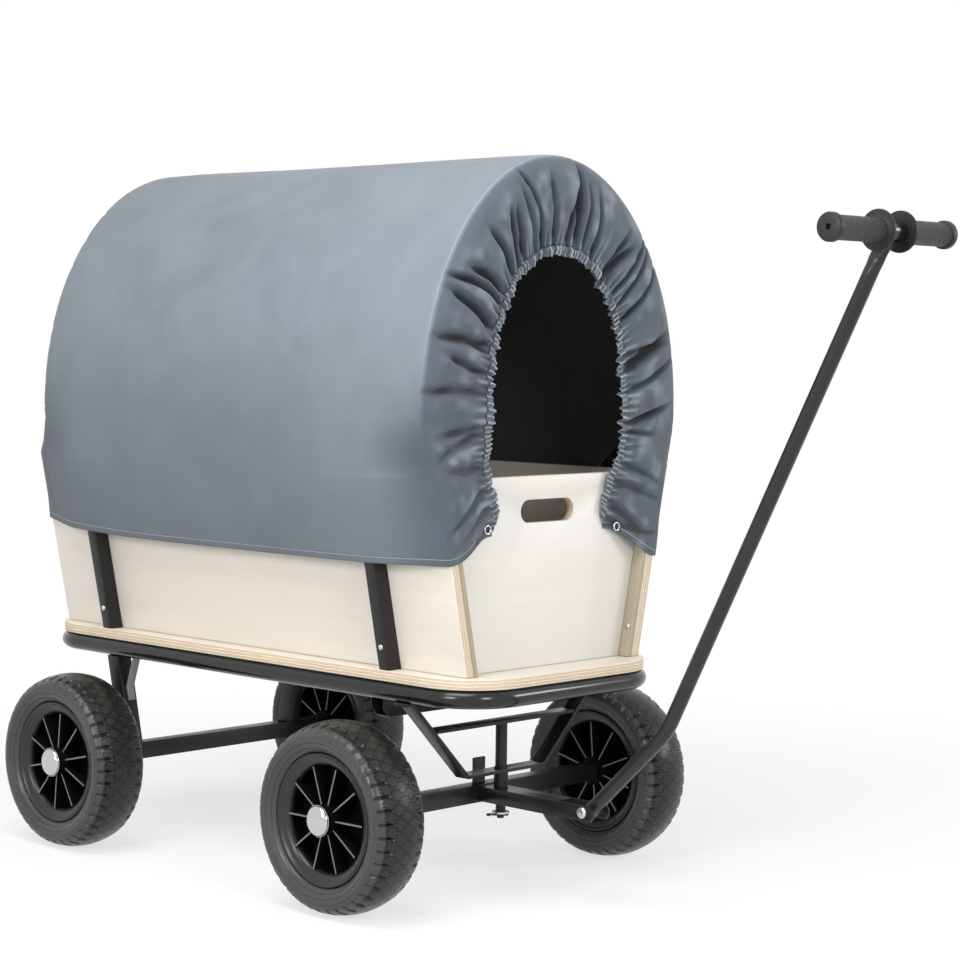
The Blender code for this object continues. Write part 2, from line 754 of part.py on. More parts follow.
def add_upright(end, side):
    """A square tube against the side panel's outer face, open at the top for the hoop's leg."""
    x = UPRIGHT_X[end]
    half = UPRIGHT_LENGTH / 2
    near = BOX_WIDTH_AT_DECK / 2 + GAP
    far = near + UPRIGHT_DEPTH
    name = f"{end}_{side}_upright"
    tube = leaning_piece(name, x - half, x + half, near, far, BOX_BOTTOM, UPRIGHT_TOP, side, BLACK_STEEL)
    inside = half - UPRIGHT_WALL
    hollow = leaning_piece(
        f"{name}_hollow",
        x - inside,
        x + inside,
        near + UPRIGHT_WALL,
        far - UPRIGHT_WALL,
        BOX_BOTTOM + UPRIGHT_WALL,
        UPRIGHT_TOP + 0.02,
        side,
        BLACK_STEEL,
    )
    PARTS.objects.unlink(hollow)
    CUTTERS.objects.link(hollow)
    hollow.hide_render = True
    hollow.display_type = "WIRE"
    cut(tube, hollow)


def upright_centre(z):
    """Half the distance between the centre lines of the right and left uprights at height z."""
    return panel_outside(z) + GAP + UPRIGHT_DEPTH / 2


def arch_point(end, angle, sign):
    """A point on a hoop's arch, at an angle above its springing."""
    return (
        HOOP_X[end],
        sign * HOOP_ARCH_HALF_WIDTH * math.cos(angle),
        CANOPY_SPRING + HOOP_ARCH_RISE * math.sin(angle),
    )


def add_hoop(end):
    """A bent tube: its legs stand in the uprights, lean out and carry the arch."""
    x = UPRIGHT_X[end]
    start = math.asin((HOOP_LEG_TOP - CANOPY_SPRING) / HOOP_ARCH_RISE)
    knee = UPRIGHT_TOP + 0.010
    legs = {}
    for side, sign in SIDES.items():
        low = UPRIGHT_TOP - HOOP_PLUG
        corners = [
            (x, sign * upright_centre(low), low),
            (x, sign * upright_centre(knee), knee),
            arch_point(end, start, sign),
            arch_point(end, start + math.radians(9), sign),
        ]
        legs[side] = rounded_path(corners, (HOOP_BEND, HOOP_BEND), 4)[:-1]
    arch = []
    for step in range(1, HOOP_STEPS):
        angle = start + math.radians(5) + (math.pi - 2 * start - math.radians(10)) * step / HOOP_STEPS
        arch.append(Vector(arch_point(end, angle, -1)))
    path = legs["right"] + arch + legs["left"][::-1]
    add_piece(f"{end}_hoop", tube_curve(f"{end}_hoop", path, HOOP_RADIUS), BLACK_STEEL, ROOT)


# Canopy

SIDE_ROWS = TUCK_ROWS + SHOULDER_ROWS
HALF_ROWS = SIDE_ROWS + ARCH_ROWS
CANOPY_ROWS = 2 * HALF_ROWS
WALL_COLUMNS = len(WALL_SPLITS) + 1
CANOPY_COLUMNS = 2 * WALL_COLUMNS + len(SIDE_SPLITS) + 1
SHOULDER_Z = BOX_TOP + BOX_SHOULDER
WRAP_X = BOX_LENGTH / 2 + CLOTH_CLEARANCE + CANOPY_THICKNESS / 2 + 0.0004


def mix(a, b, share):
    return a + (b - a) * share


def cloth_height(row, rise):
    """The height of a row of the cloth's side, whose hem is raised by rise."""
    hem = HEM_HEIGHT + rise
    if row <= TUCK_ROWS:
        return mix(hem, SHOULDER_Z, row / TUCK_ROWS)
    return mix(SHOULDER_Z, CANOPY_SPRING, (row - TUCK_ROWS) / SHOULDER_ROWS)


def canopy_tuck():
    """How steeply the sides turn in below the arch, so that they stay outside the uprights."""
    tucks = []
    for z in (HEM_HEIGHT, UPRIGHT_TOP):
        clear = upright_centre(z) + UPRIGHT_DEPTH / 2 + CANOPY_OFF_UPRIGHT
        tucks.append((CANOPY_SPRING - z) / math.sqrt(1 - min(0.999, clear / CANOPY_HALF_WIDTH) ** 2))
    return max(tucks)


def cloth_side_width(z, at_corner):
    """Half the canopy's width at height z: the tuck under the arch, or the hold on the box's corners."""
    tucked = CANOPY_HALF_WIDTH * math.sqrt(1 - ((CANOPY_SPRING - z) / canopy_tuck()) ** 2)
    if not at_corner:
        return tucked
    held = panel_outside(min(z, SHOULDER_Z)) + CLOTH_CLEARANCE + CANOPY_THICKNESS / 2
    free = max(0.0, z - SHOULDER_Z) / (CANOPY_SPRING - SHOULDER_Z)
    return mix(held, CANOPY_HALF_WIDTH, free)


def cloth_corner(row, end):
    """The point where the canopy's side turns into its end wall, on the left side."""
    sign = ENDS[end]
    if row > SIDE_ROWS:
        angle = math.radians(90 * (row - SIDE_ROWS) / ARCH_ROWS)
        z = CANOPY_SPRING + CANOPY_RISE * math.sin(angle)
        return Vector((CREASE_X[end], CANOPY_HALF_WIDTH * math.cos(angle), z))
    z = cloth_height(row, HEM_RISE[end])
    free = max(0.0, z - SHOULDER_Z) / (CANOPY_SPRING - SHOULDER_Z)
    return Vector((mix(sign * WRAP_X, CREASE_X[end], free), cloth_side_width(z, True), z))


def cloth_side(row, share):
    """A point of the canopy's left side or roof, at a share of its length from rear to front."""
    rear, front = cloth_corner(row, "rear"), cloth_corner(row, "front")
    point = rear.lerp(front, share)
    if row < SIDE_ROWS:
        near = "rear" if share < 0.5 else "front"
        at_edge = share in (SIDE_SPLITS[0], SIDE_SPLITS[-1])
        point.z = cloth_height(row, HEM_RISE_NEAR[near] if at_edge else 0.0)
        point.y = cloth_side_width(point.z, False)
    return point


def cloth_mouth(row, end):
    """A point on the edge of the opening in an end wall, on the left side."""
    sign = ENDS[end]
    foot_x = sign * (BOX_LENGTH / 2 - END_PANEL_RECESS + CLOTH_CLEARANCE + 0.0015)
    mouth_x = CREASE_X[end] + sign * WALL_BULGE
    if row <= SIDE_ROWS:
        share = row / SIDE_ROWS
        y = mix(MOUTH_FOOT_HALF_WIDTH, MOUTH_HALF_WIDTH, share)
        z = mix(MOUTH_FOOT_HEIGHT, CANOPY_SPRING, share)
        free = max(0.0, row - TUCK_ROWS) / SHOULDER_ROWS
        return Vector((mix(foot_x, mouth_x, free), y, z))
    angle = math.radians(90 * (row - SIDE_ROWS) / ARCH_ROWS)
    y = MOUTH_HALF_WIDTH * max(0.0, math.cos(angle)) ** (2 / MOUTH_POWER)
    z = CANOPY_SPRING + MOUTH_RISE * math.sin(angle) ** (2 / MOUTH_POWER)
    return Vector((mouth_x, y, z))


def cloth_wall(row, end, share):
    """A point of an end wall, from its corner at share 0 to the opening's edge at share 1."""
    corner, mouth = cloth_corner(row, end), cloth_mouth(row, end)
    point = corner.lerp(mouth, share)
    if row < SIDE_ROWS:
        bend = 0.0 if share <= WALL_SPLITS[0] else (share - WALL_SPLITS[0]) / (1 - WALL_SPLITS[0])
        free = max(0.0, row - TUCK_ROWS) / SHOULDER_ROWS
        point.x = mix(mix(corner.x, mouth.x, bend), point.x, free)
    elif row > SIDE_ROWS:
        fold = 1 if row % 2 else -1
        point.x += ENDS[end] * FOLD_DEPTH * share * fold
    return point


def canopy_point(row, column):
    """A point of the canopy's middle surface. Rows run from the right hem over the roof to the left hem."""
    sign = -1 if row < HALF_ROWS else 1
    level = min(row, CANOPY_ROWS - row)
    if column <= WALL_COLUMNS:
        shares = (1.0, *WALL_SPLITS[::-1], 0.0)
        point = cloth_wall(level, "rear", shares[column])
    elif column >= CANOPY_COLUMNS - WALL_COLUMNS:
        shares = (0.0, *WALL_SPLITS, 1.0)
        point = cloth_wall(level, "front", shares[column - CANOPY_COLUMNS + WALL_COLUMNS])
    else:
        point = cloth_side(level, SIDE_SPLITS[column - WALL_COLUMNS - 1])
    point.y *= sign
    return point


def add_canopy():
    shape = bmesh.new()
    bmesh.ops.create_grid(shape, x_segments=CANOPY_COLUMNS, y_segments=CANOPY_ROWS, size=0.5)
    for vertex in shape.verts:
        column = round((vertex.co.x + 0.5) * CANOPY_COLUMNS)
        row = round((vertex.co.y + 0.5) * CANOPY_ROWS)
        vertex.co = canopy_point(row, column)
    mesh = bpy.data.meshes.new("canopy")
    shape.to_mesh(mesh)
    shape.free()
    mesh.shade_smooth()
    canopy = add_piece("canopy", mesh, CANOPY_CLOTH, ROOT)
    solidify = canopy.modifiers.new("Cloth", "SOLIDIFY")
    solidify.thickness = CANOPY_THICKNESS
    solidify.offset = 0.0


def add_grommet(end, side):
    """A chrome ring on the canopy's wall, at the foot of the opening's edge."""
    columns = (0, 1) if end == "rear" else (CANOPY_COLUMNS - 1, CANOPY_COLUMNS)
    rows = (0, 1) if side == "right" else (CANOPY_ROWS - 1, CANOPY_ROWS)
    corners = [canopy_point(row, column) for row in rows for column in columns]
    centre = sum(corners, Vector()) / 4
    normal = (corners[3] - corners[0]).cross(corners[2] - corners[1]).normalized()
    if normal.x * ENDS[end] < 0:
        normal.negate()
    lift = CANOPY_THICKNESS / 2 + GAP + GROMMET_TUBE
    ring = [(GROMMET_RADIUS, GROMMET_TUBE), (GROMMET_RADIUS, -GROMMET_TUBE)]
    hole = GROMMET_RADIUS - 2.4 * GROMMET_TUBE
    ring += [(hole, -GROMMET_TUBE), (hole, GROMMET_TUBE)]
    add_turned(f"{end}_{side}_grommet", ring, CHROME, ROOT, centre + lift * normal, normal, 12, True)


# Steering


def add_hanger():
    """The strap that hangs from the rim tube, and the cross strap that ties its legs together."""
    tab_z = RIM_TUBE_BOTTOM - GAP - STRAP_THICKNESS / 2
    half = [
        (HANGER_TOP_HALF + HANGER_TAB, tab_z),
        (HANGER_TOP_HALF, tab_z),
        (HANGER_FOOT_HALF, HANGER_FOOT_HEIGHT),
    ]
    path = [(-y, z) for y, z in half] + half[::-1]
    hanger = add_strap("hanger_strap", path, STRAP_THICKNESS, KINGPIN_X, BLACK_STEEL, ROOT)
    lean = (HANGER_TOP_HALF - HANGER_FOOT_HALF) / (tab_z - HANGER_FOOT_HEIGHT)
    leg_across = STRAP_THICKNESS / 2 * math.sqrt(1 + lean**2)
    bottom = CROSS_STRAP_TOP - STRAP_THICKNESS
    reach = HANGER_FOOT_HALF + lean * (bottom - HANGER_FOOT_HEIGHT) - leg_across - GAP
    width = STRAP_WIDTH / 2
    add_piece(
        "cross_strap",
        box_mesh(
            "cross_strap",
            (KINGPIN_X - width, -reach, bottom),
            (KINGPIN_X + width, reach, CROSS_STRAP_TOP),
        ),
        BLACK_STEEL,
        ROOT,
    )
    hole = cylinder_mesh(
        "kingpin_hole",
        KINGPIN_RADIUS + GAP,
        (KINGPIN_X, 0, HANGER_FOOT_HEIGHT - 0.02),
        (KINGPIN_X, 0, HANGER_FOOT_HEIGHT + 0.02),
    )
    cut(hanger, make_cutter("kingpin_hole", hole))


def add_kingpin():
    """A pin from the cross strap through the hanger's foot. A collar on it stands on the foot."""
    top = CROSS_STRAP_TOP - STRAP_THICKNESS - GAP
    seat = HANGER_FOOT_TOP + GAP
    shoulder = HANGER_FOOT_BOTTOM - GAP
    profile = [
        (0.0, top),
        (KINGPIN_RADIUS, top),
        (KINGPIN_RADIUS, seat + KINGPIN_COLLAR),
        (KINGPIN_COLLAR_RADIUS, seat + KINGPIN_COLLAR * 0.6),
        (KINGPIN_COLLAR_RADIUS, seat),
        (KINGPIN_RADIUS, seat),
        (KINGPIN_RADIUS, shoulder),
        (KINGPIN_NECK_RADIUS, shoulder),
        (KINGPIN_NECK_RADIUS, KINGPIN_BOTTOM),
        (0.0, KINGPIN_BOTTOM),
    ]
    kingpin = add_turned("kingpin", profile, BLACK_STEEL, ROOT, (KINGPIN_X, 0, 0), (0, 0, 1), 16)
    along = Vector((math.cos(math.radians(COTTER_TURN)), math.sin(math.radians(COTTER_TURN)), 0))
    centre = Vector((KINGPIN_X, 0, COTTER_Z))
    hole = cylinder_mesh("cotter_hole", COTTER_RADIUS + GAP, centre - 0.02 * along, centre + 0.02 * along, 8)
    cut(kingpin, make_cutter("cotter_hole", hole))
    across = Vector((-along.y, along.x, 0))
    eye = centre + along * (COTTER_REACH + COTTER_EYE)
    path = [centre - along * COTTER_REACH, centre - along * 0.004, centre + along * 0.004]
    for step in range(9):
        angle = math.radians(180 + 35 * step)
        path.append(eye + COTTER_EYE * (along * math.cos(angle) + across * math.sin(angle)))
    cotter = tube_curve("cotter_pin", path, COTTER_RADIUS, resolution=1)
    add_piece("cotter_pin", cotter, BLACK_STEEL, ROOT)
    washer = [
        (WASHER_RADIUS, WASHER_TOP),
        (WASHER_RADIUS, WASHER_TOP - WASHER_THICKNESS),
        (KINGPIN_NECK_RADIUS + GAP, WASHER_TOP - WASHER_THICKNESS),
        (KINGPIN_NECK_RADIUS + GAP, WASHER_TOP),
    ]
    add_turned("kingpin_washer", washer, ZINC, ROOT, (KINGPIN_X, 0, 0), (0, 0, 1), 16, True)


def add_steering():
    """The front axle with its stop tab, the drawbar behind the handle, and the bush on the kingpin."""
    tube = add_axle("front", STEERING)
    half = STOP_TAB_THICKNESS / 2
    tab = box_mesh(
        "stop_tab",
        (AXLE_X["front"] - half, STOP_TAB_Y - STOP_TAB_WIDTH / 2, AXLE_TOP - AXLE_TUBE_WALL / 2),
        (AXLE_X["front"] + half, STOP_TAB_Y + STOP_TAB_WIDTH / 2, STOP_TAB_TOP),
    )
    cut(tube, make_cutter("stop_tab", tab), "UNION")
    start = AXLE_X["front"] + AXLE_TUBE / 2 + GAP
    clip = DRAWBAR_CLIP
    outline = [
        (start, DRAWBAR_BOTTOM),
        (DRAWBAR_END - clip, DRAWBAR_BOTTOM),
        (DRAWBAR_END, DRAWBAR_BOTTOM + clip),
        (DRAWBAR_END, DRAWBAR_TOP - clip),
        (DRAWBAR_END - clip, DRAWBAR_TOP),
        (start, DRAWBAR_TOP),
    ]
    bar = add_piece("drawbar", outline_curve("drawbar", outline, DRAWBAR_HALF_WIDTH), BLACK_STEEL, STEERING)
    bar.matrix_world = Matrix(((1, 0, 0), (0, 0, -1), (0, 1, 0))).to_4x4()
    bar = as_mesh(bar)
    inside = DRAWBAR_HALF_WIDTH - DRAWBAR_WALL
    channel = box_mesh(
        "channel",
        (start - 0.01, -inside, DRAWBAR_BOTTOM - 0.01),
        (DRAWBAR_END + 0.01, inside, DRAWBAR_TOP - DRAWBAR_WALL),
    )
    cut(bar, make_cutter("drawbar_channel", channel))
    fork = box_mesh(
        "fork",
        (DRAWBAR_WEB_END, -inside, DRAWBAR_BOTTOM),
        (DRAWBAR_END + 0.01, inside, DRAWBAR_TOP + 0.01),
    )
    cut(bar, make_cutter("drawbar_fork", fork))
    neck_hole = cylinder_mesh(
        "neck_hole",
        STEERING_NECK_RADIUS + GAP,
        (KINGPIN_X, 0, DRAWBAR_BOTTOM),
        (KINGPIN_X, 0, DRAWBAR_TOP + 0.01),
    )
    cut(bar, make_cutter("drawbar_neck_hole", neck_hole))
    bolt_hole = cylinder_mesh(
        "bolt_hole",
        BOLT_RADIUS + GAP,
        (BOLT_X, -DRAWBAR_HALF_WIDTH - 0.01, BOLT_Z),
        (BOLT_X, DRAWBAR_HALF_WIDTH + 0.01, BOLT_Z),
        12,
    )
    cut(bar, make_cutter("drawbar_bolt_hole", bolt_hole))
    top = HANGER_FOOT_BOTTOM - 2 * GAP
    seat = DRAWBAR_TOP + GAP
    bush = [
        (STEERING_BUSH_RADIUS, top),
        (STEERING_BUSH_RADIUS, seat),
        (STEERING_NECK_RADIUS, seat),
        (STEERING_NECK_RADIUS, STEERING_BUSH_BOTTOM),
        (KINGPIN_NECK_RADIUS + BUSH_PLAY, STEERING_BUSH_BOTTOM),
        (KINGPIN_NECK_RADIUS + BUSH_PLAY, top),
    ]
    add_turned("steering_bush", bush, BLACK_STEEL, STEERING, (KINGPIN_X, 0, 0), (0, 0, 1), 16, True)


def add_pivot_bolt():
    """A bolt with its nut, through the drawbar's cheeks. Its head is on the right."""
    face = DRAWBAR_HALF_WIDTH + GAP
    profile = [
        (0.0, face + BOLT_HEAD),
        (BOLT_HEAD_RADIUS * 0.8, face + BOLT_HEAD),
        (BOLT_HEAD_RADIUS, face + BOLT_HEAD * 0.5),
        (BOLT_HEAD_RADIUS, face),
        (BOLT_RADIUS, face),
        (BOLT_RADIUS, -face),
        (NUT_RADIUS, -face),
        (NUT_RADIUS, -face - NUT_HEIGHT),
        (0.0, -face - NUT_HEIGHT),
    ]
    add_turned("pivot_bolt", profile, ZINC, STEERING, (BOLT_X, 0, BOLT_Z), (0, -1, 0), 12)


# Handle


def handle_path():
    """The handle's centre line, from below the pivot bolt round its one bend to the crossbar."""
    slope = math.radians(HANDLE_LOWER_SLOPE)
    pivot = Vector((BOLT_X, 0, BOLT_Z))
    lower = Vector((math.cos(slope), 0, math.sin(slope)))
    corner = pivot + lower * ((HANDLE_BEND_X - BOLT_X) / lower.x)
    crossbar = Vector((CROSSBAR_X, 0, CROSSBAR_Z))
    upper = (crossbar - corner).normalized()
    start = pivot - lower * HANDLE_END_OVERLAP
    end = crossbar - upper * (CROSSBAR_COLLAR_RADIUS + GAP)
    path = rounded_path([start, corner, end], (HANDLE_BEND_RADIUS,), HANDLE_BEND_STEPS)
    tail = [end - upper * length for length in (CRIMP_LENGTH, 0.030, 0.015)]
    return [*path[:-1], *tail, path[-1]], end


def add_handle():
    path, end = handle_path()
    tube = add_piece("handle_tube", tube_curve("handle_tube", path, HANDLE_RADIUS), BLACK_STEEL, HANDLE)
    tube = as_mesh(tube)
    to_cart = tube.matrix_world.copy()
    back = to_cart.inverted()
    for vertex in tube.data.vertices:
        place = to_cart @ vertex.co
        grown = min(1.0, (place - end).length / CRIMP_LENGTH)
        grown = grown * grown * (3 - 2 * grown)
        line = nearest_on_path(place, path)
        offset = place - line
        offset.y *= mix(CRIMP_SHARE, 1.0, grown)
        offset.x *= mix(CRIMP_WIDENING, 1.0, grown)
        offset.z *= mix(CRIMP_WIDENING, 1.0, grown)
        vertex.co = back @ (line + offset)
    smooth(tube.data, 50)
    hole = cylinder_mesh(
        "bush_hole", HANDLE_BUSH_RADIUS + GAP, (BOLT_X, -0.02, BOLT_Z), (BOLT_X, 0.02, BOLT_Z), 12
    )
    cut(tube, make_cutter("handle_bush_hole", hole))
    reach = DRAWBAR_HALF_WIDTH - DRAWBAR_WALL - GAP
    sleeve = [
        (HANDLE_BUSH_RADIUS, reach),
        (HANDLE_BUSH_RADIUS, -reach),
        (BOLT_RADIUS + BUSH_PLAY, -reach),
        (BOLT_RADIUS + BUSH_PLAY, reach),
    ]
    add_turned("handle_bush", sleeve, ZINC, HANDLE, (BOLT_X, 0, BOLT_Z), (0, 1, 0), 12, True)


def nearest_on_path(place, path):
    """The point of a path of straight runs that lies nearest to place."""
    best = None
    for first, second in zip(path, path[1:]):
        run = second - first
        share = min(1.0, max(0.0, (place - first).dot(run) / run.length_squared))
        point = first + run * share
        if best is None or (place - point).length < (place - best).length:
            best = point
    return best


def add_crossbar_and_grips():
    """The crossbar with its collar, and a moulded grip pushed on each end of it."""
    centre = (CROSSBAR_X, 0, CROSSBAR_Z)
    end = GRIP_END - GRIP_END_WALL - GAP
    half = [(0.0, end), (CROSSBAR_RADIUS, end), (CROSSBAR_RADIUS, CROSSBAR_COLLAR_HALF)]
    half.append((CROSSBAR_COLLAR_RADIUS, CROSSBAR_COLLAR_HALF))
    profile = half + [(radius, -height) for radius, height in reversed(half)]
    add_turned("handle_crossbar", profile, BLACK_STEEL, HANDLE, centre, (0, 1, 0), 16)
    inner = CROSSBAR_COLLAR_HALF + GAP
    bore = CROSSBAR_RADIUS + GAP
    floor = GRIP_END - GRIP_END_WALL
    grip = [
        (0.0, GRIP_END),
        (GRIP_CAP_RADIUS * 0.9, GRIP_END),
        (GRIP_CAP_RADIUS, GRIP_END - 0.0015),
        (GRIP_CAP_RADIUS, GRIP_END - GRIP_CAP_LENGTH),
        (GRIP_RADIUS, GRIP_END - GRIP_CAP_LENGTH - 0.002),
        (GRIP_RADIUS, inner + GRIP_FLANGE_THICKNESS),
        (GRIP_FLANGE_RADIUS, inner + GRIP_FLANGE_THICKNESS),
        (GRIP_FLANGE_RADIUS, inner),
        (bore, inner),
        (bore, floor),
        (0.0, floor),
    ]
    for side, sign in SIDES.items():
        add_turned(f"{side}_grip", grip, GRIP_PLASTIC, HANDLE, centre, (0, sign, 0), 20)


# Rear undercarriage


def add_strut(side):
    """A square tube from the rear axle tube out to the rim tube."""
    sign = SIDES[side]
    x = AXLE_X["rear"]
    bottom, top = AXLE_TOP + GAP, RIM_TUBE_BOTTOM - GAP
    lean = sign * (STRUT_TOP_Y - STRUT_FOOT_Y) / (top - bottom)
    half = STRUT_SIZE / 2
    foot = sign * STRUT_FOOT_Y
    name = f"rear_{side}_strut"
    strut = add_piece(
        name,
        leaning_box_mesh(name, (x - half, foot - half, bottom), (x + half, foot + half, top), lean),
        BLACK_STEEL,
        ROOT,
    )
    inside = half - STRUT_WALL
    hollow = leaning_box_mesh(
        "hollow",
        (x - inside, foot - inside - 0.01 * lean, bottom - 0.01),
        (x + inside, foot + inside - 0.01 * lean, top + 0.01),
        lean,
    )
    cut(strut, make_cutter(f"{name}_hollow", hollow))


def add_rear_brace(side):
    """A strap bent forward from the strut's front face up to the rim tube. It leans as the strut does."""
    sign = SIDES[side]
    bottom, top = AXLE_TOP + GAP, RIM_TUBE_BOTTOM - GAP
    lean = (STRUT_TOP_Y - STRUT_FOOT_Y) / (top - bottom)
    face = AXLE_X["rear"] + STRUT_SIZE / 2 + GAP + BRACE_THICKNESS / 2
    bend = (face, BRACE_BEND_HEIGHT)
    run = (BRACE_TOP_X - face) / (top - BRACE_BEND_HEIGHT)
    path = [(face, BRACE_FOOT_HEIGHT), bend, (BRACE_TOP_X + run * 0.01, top + 0.01)]
    name = f"rear_{side}_brace"
    brace = add_piece(
        name,
        outline_curve(name, strap_outline(path, BRACE_THICKNESS / 2), BRACE_WIDTH / 2),
        GREY_STEEL,
        ROOT,
    )
    brace.matrix_world = Matrix(((1, 0, 0), (0, 0, -1), (0, 1, 0))).to_4x4()
    brace = as_mesh(brace)
    to_cart = brace.matrix_world.copy()
    for vertex in brace.data.vertices:
        place = to_cart @ vertex.co
        if place.z > top:
            place.x -= run * (place.z - top)
            place.z = top
        place.y += sign * (BRACE_Y + lean * (place.z - BRACE_BEND_HEIGHT))
        vertex.co = to_cart.inverted() @ place


clear_scene()
PARTS = make_collection("hand_pulled_wagon")
CUTTERS = make_collection("cutters")

BLACK_STEEL = make_material("black_steel", (0.018, 0.018, 0.019), 0.32)
GREY_STEEL = make_material("grey_steel", (0.30, 0.30, 0.30), 0.40)
PLYWOOD = make_material("plywood", (0.72, 0.62, 0.50), 0.55)
BATTEN_PAINT = make_material("batten_paint", (0.42, 0.38, 0.28), 0.55)
CANOPY_CLOTH = make_material("canopy_cloth", (0.20, 0.24, 0.28), 0.85)
TYRE_RUBBER = make_material("tyre_rubber", (0.03, 0.03, 0.03), 0.75)
RIM_PLASTIC = make_material("rim_plastic", (0.04, 0.04, 0.042), 0.45)
GRIP_PLASTIC = make_material("grip_plastic", (0.03, 0.03, 0.03), 0.60)
NYLON = make_material("nylon", (0.65, 0.64, 0.60), 0.50)
CHROME = make_material("chrome", (0.80, 0.80, 0.82), 0.10, 1.0)
ZINC = make_material("zinc", (0.62, 0.63, 0.65), 0.30, 1.0)

ROOT = make_empty("wagon", (0, 0, 0))
STEERING = make_empty("steering", (KINGPIN_X, 0, AXLE_Z), ROOT)
HANDLE = make_empty("handle", (BOLT_X, 0, BOLT_Z), STEERING)

add_deck()
add_crossbars()
for side in SIDES:
    add_side_panel(side)
for end in ENDS:
    add_end_panel(end)
    add_hoop(end)
    for side in SIDES:
        add_batten(end, side)
        add_upright(end, side)
        add_grommet(end, side)
        add_wheel(end, side)
add_canopy()
add_hanger()
add_kingpin()
add_steering()
add_pivot_bolt()
add_handle()
add_crossbar_and_grips()
add_axle("rear", ROOT)
for side in SIDES:
    add_strut(side)
    add_rear_brace(side)

ROOT.location.x = -MIDDLE_X
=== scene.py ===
# %% [markdown]
# # A hand-pulled wagon
#
# This lesson dresses the measured solids of a wagon: a plywood box on a steel deck, a cloth
# canopy over two hoops, four pneumatic wheels and a pull handle. Each solid already has its
# real size and place. What is added here is the shape and finish that the eye expects: tread,
# folds, rounded edges, grain and gloss.

import json
import math
import random

import bpy
from mathutils import Matrix, Vector, noise


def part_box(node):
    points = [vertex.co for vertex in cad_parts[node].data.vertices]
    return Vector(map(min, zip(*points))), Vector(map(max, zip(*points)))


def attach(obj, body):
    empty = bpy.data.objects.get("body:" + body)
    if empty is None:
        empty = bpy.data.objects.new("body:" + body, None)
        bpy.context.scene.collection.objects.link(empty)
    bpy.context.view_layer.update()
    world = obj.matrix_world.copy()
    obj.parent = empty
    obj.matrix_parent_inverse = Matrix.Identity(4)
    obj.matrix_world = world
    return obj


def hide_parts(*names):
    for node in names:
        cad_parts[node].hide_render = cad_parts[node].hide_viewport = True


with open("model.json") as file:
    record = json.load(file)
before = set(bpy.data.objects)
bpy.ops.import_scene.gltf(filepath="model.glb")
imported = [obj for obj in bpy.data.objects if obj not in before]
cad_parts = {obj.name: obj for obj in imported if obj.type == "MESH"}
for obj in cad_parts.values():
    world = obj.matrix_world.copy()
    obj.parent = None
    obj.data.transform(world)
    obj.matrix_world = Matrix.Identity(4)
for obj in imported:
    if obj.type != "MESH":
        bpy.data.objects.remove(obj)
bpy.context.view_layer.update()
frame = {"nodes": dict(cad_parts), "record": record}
nodes = frame["nodes"]
board_low, board_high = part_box("deck_board")
MIDDLE = (board_low.x + board_high.x) / 2
print("solids:", len(nodes), "deck middle at x", round(MIDDLE, 4))

# %% [markdown]
# ## The camera
#
# The photo was taken with a long lens from low down, in front of the wagon and to its right.
# The picture's centre isn't the lens's centre, because the photo was cropped, so the lens is
# shifted a little.

# %% Camera
bpy.ops.object.camera_add(
    location=(2.6421 + MIDDLE, -2.4171, 0.7708),
    rotation=[math.radians(a) for a in (88.1378, -0.7122, 43.4568)],
)
camera = bpy.context.object
camera.data.lens = 89.342
camera.data.sensor_width = 36.0
camera.data.shift_x = -0.03488
camera.data.shift_y = -0.06496
camera.data.clip_end = 60.0
bpy.context.scene.camera = camera
print("camera at", [round(c, 3) for c in camera.location])

# %% [markdown]
# ## Ways of building materials
#
# A material is a small network of nodes. These helpers add one node each, or a few, and give
# back the socket that carries the result, so a network reads like a sum.


# %% Helpers for nodes
def grey(level):
    return (level, level, level)


def put(tree, socket, term):
    """Links a term to a socket, or sets it there if it is a value."""
    if isinstance(term, bpy.types.NodeSocket):
        tree.links.new(term, socket)
    elif socket.type == "RGBA":
        socket.default_value = (*term, 1.0)
    else:
        socket.default_value = term


def fill(tree, node, **values):
    """Sets a node's properties and inputs by name, with a low line for each space."""
    for key, value in values.items():
        if hasattr(node, key):
            setattr(node, key, value)
        else:
            put(tree, node.inputs[key.replace("_", " ")], value)
    return node


def add_node(tree, kind, **values):
    return fill(tree, tree.nodes.new(kind), **values)


def maths(tree, operation, *terms):
    """A Math node. Each term is a number or a socket."""
    node = add_node(tree, "ShaderNodeMath", operation=operation)
    for socket, term in zip(node.inputs, terms):
        put(tree, socket, term)
    return node.outputs[0]


def ramped(tree, value, low, high, to_low=0.0, to_high=1.0, kind="SMOOTHSTEP"):
    """A change from to_low to to_high as value goes from low to high."""
    node = add_node(tree, "ShaderNodeMapRange", interpolation_type=kind, Value=value)
    return fill(tree, node, From_Min=low, From_Max=high, To_Min=to_low, To_Max=to_high).outputs[0]


def new_finish(name):
    """A material with its node tree, its Principled shader and its texture coordinates."""
    material = bpy.data.materials.new(name)
    material.use_nodes = True
    tree = material.node_tree
    return material, tree, tree.nodes["Principled BSDF"], tree.nodes.new("ShaderNodeTexCoord").outputs


print("node helpers ready")

# %% [markdown]
# ## The studio
#
# A white room with four soft lamps: one above the wagon's right side, one in front, one at its
# far side and one at its right. The floor shows white to the camera and keeps only a soft
# shadow. What the camera sees white isn't a lamp: the world and floor are white to camera,
# mirror and glass rays only.


# %% Floor, world and lamps
FLOOR_SIZE = 30.0
SHADOW_ENDS = (0.9, 1.9)


def seen_ray(tree):
    """1 for camera, mirror and glass rays, and 0 for the rays that carry light about."""
    path = tree.nodes.new("ShaderNodeLightPath").outputs
    first = maths(tree, "MAXIMUM", path["Is Camera Ray"], path["Is Glossy Ray"])
    return maths(tree, "MAXIMUM", first, path["Is Transmission Ray"])


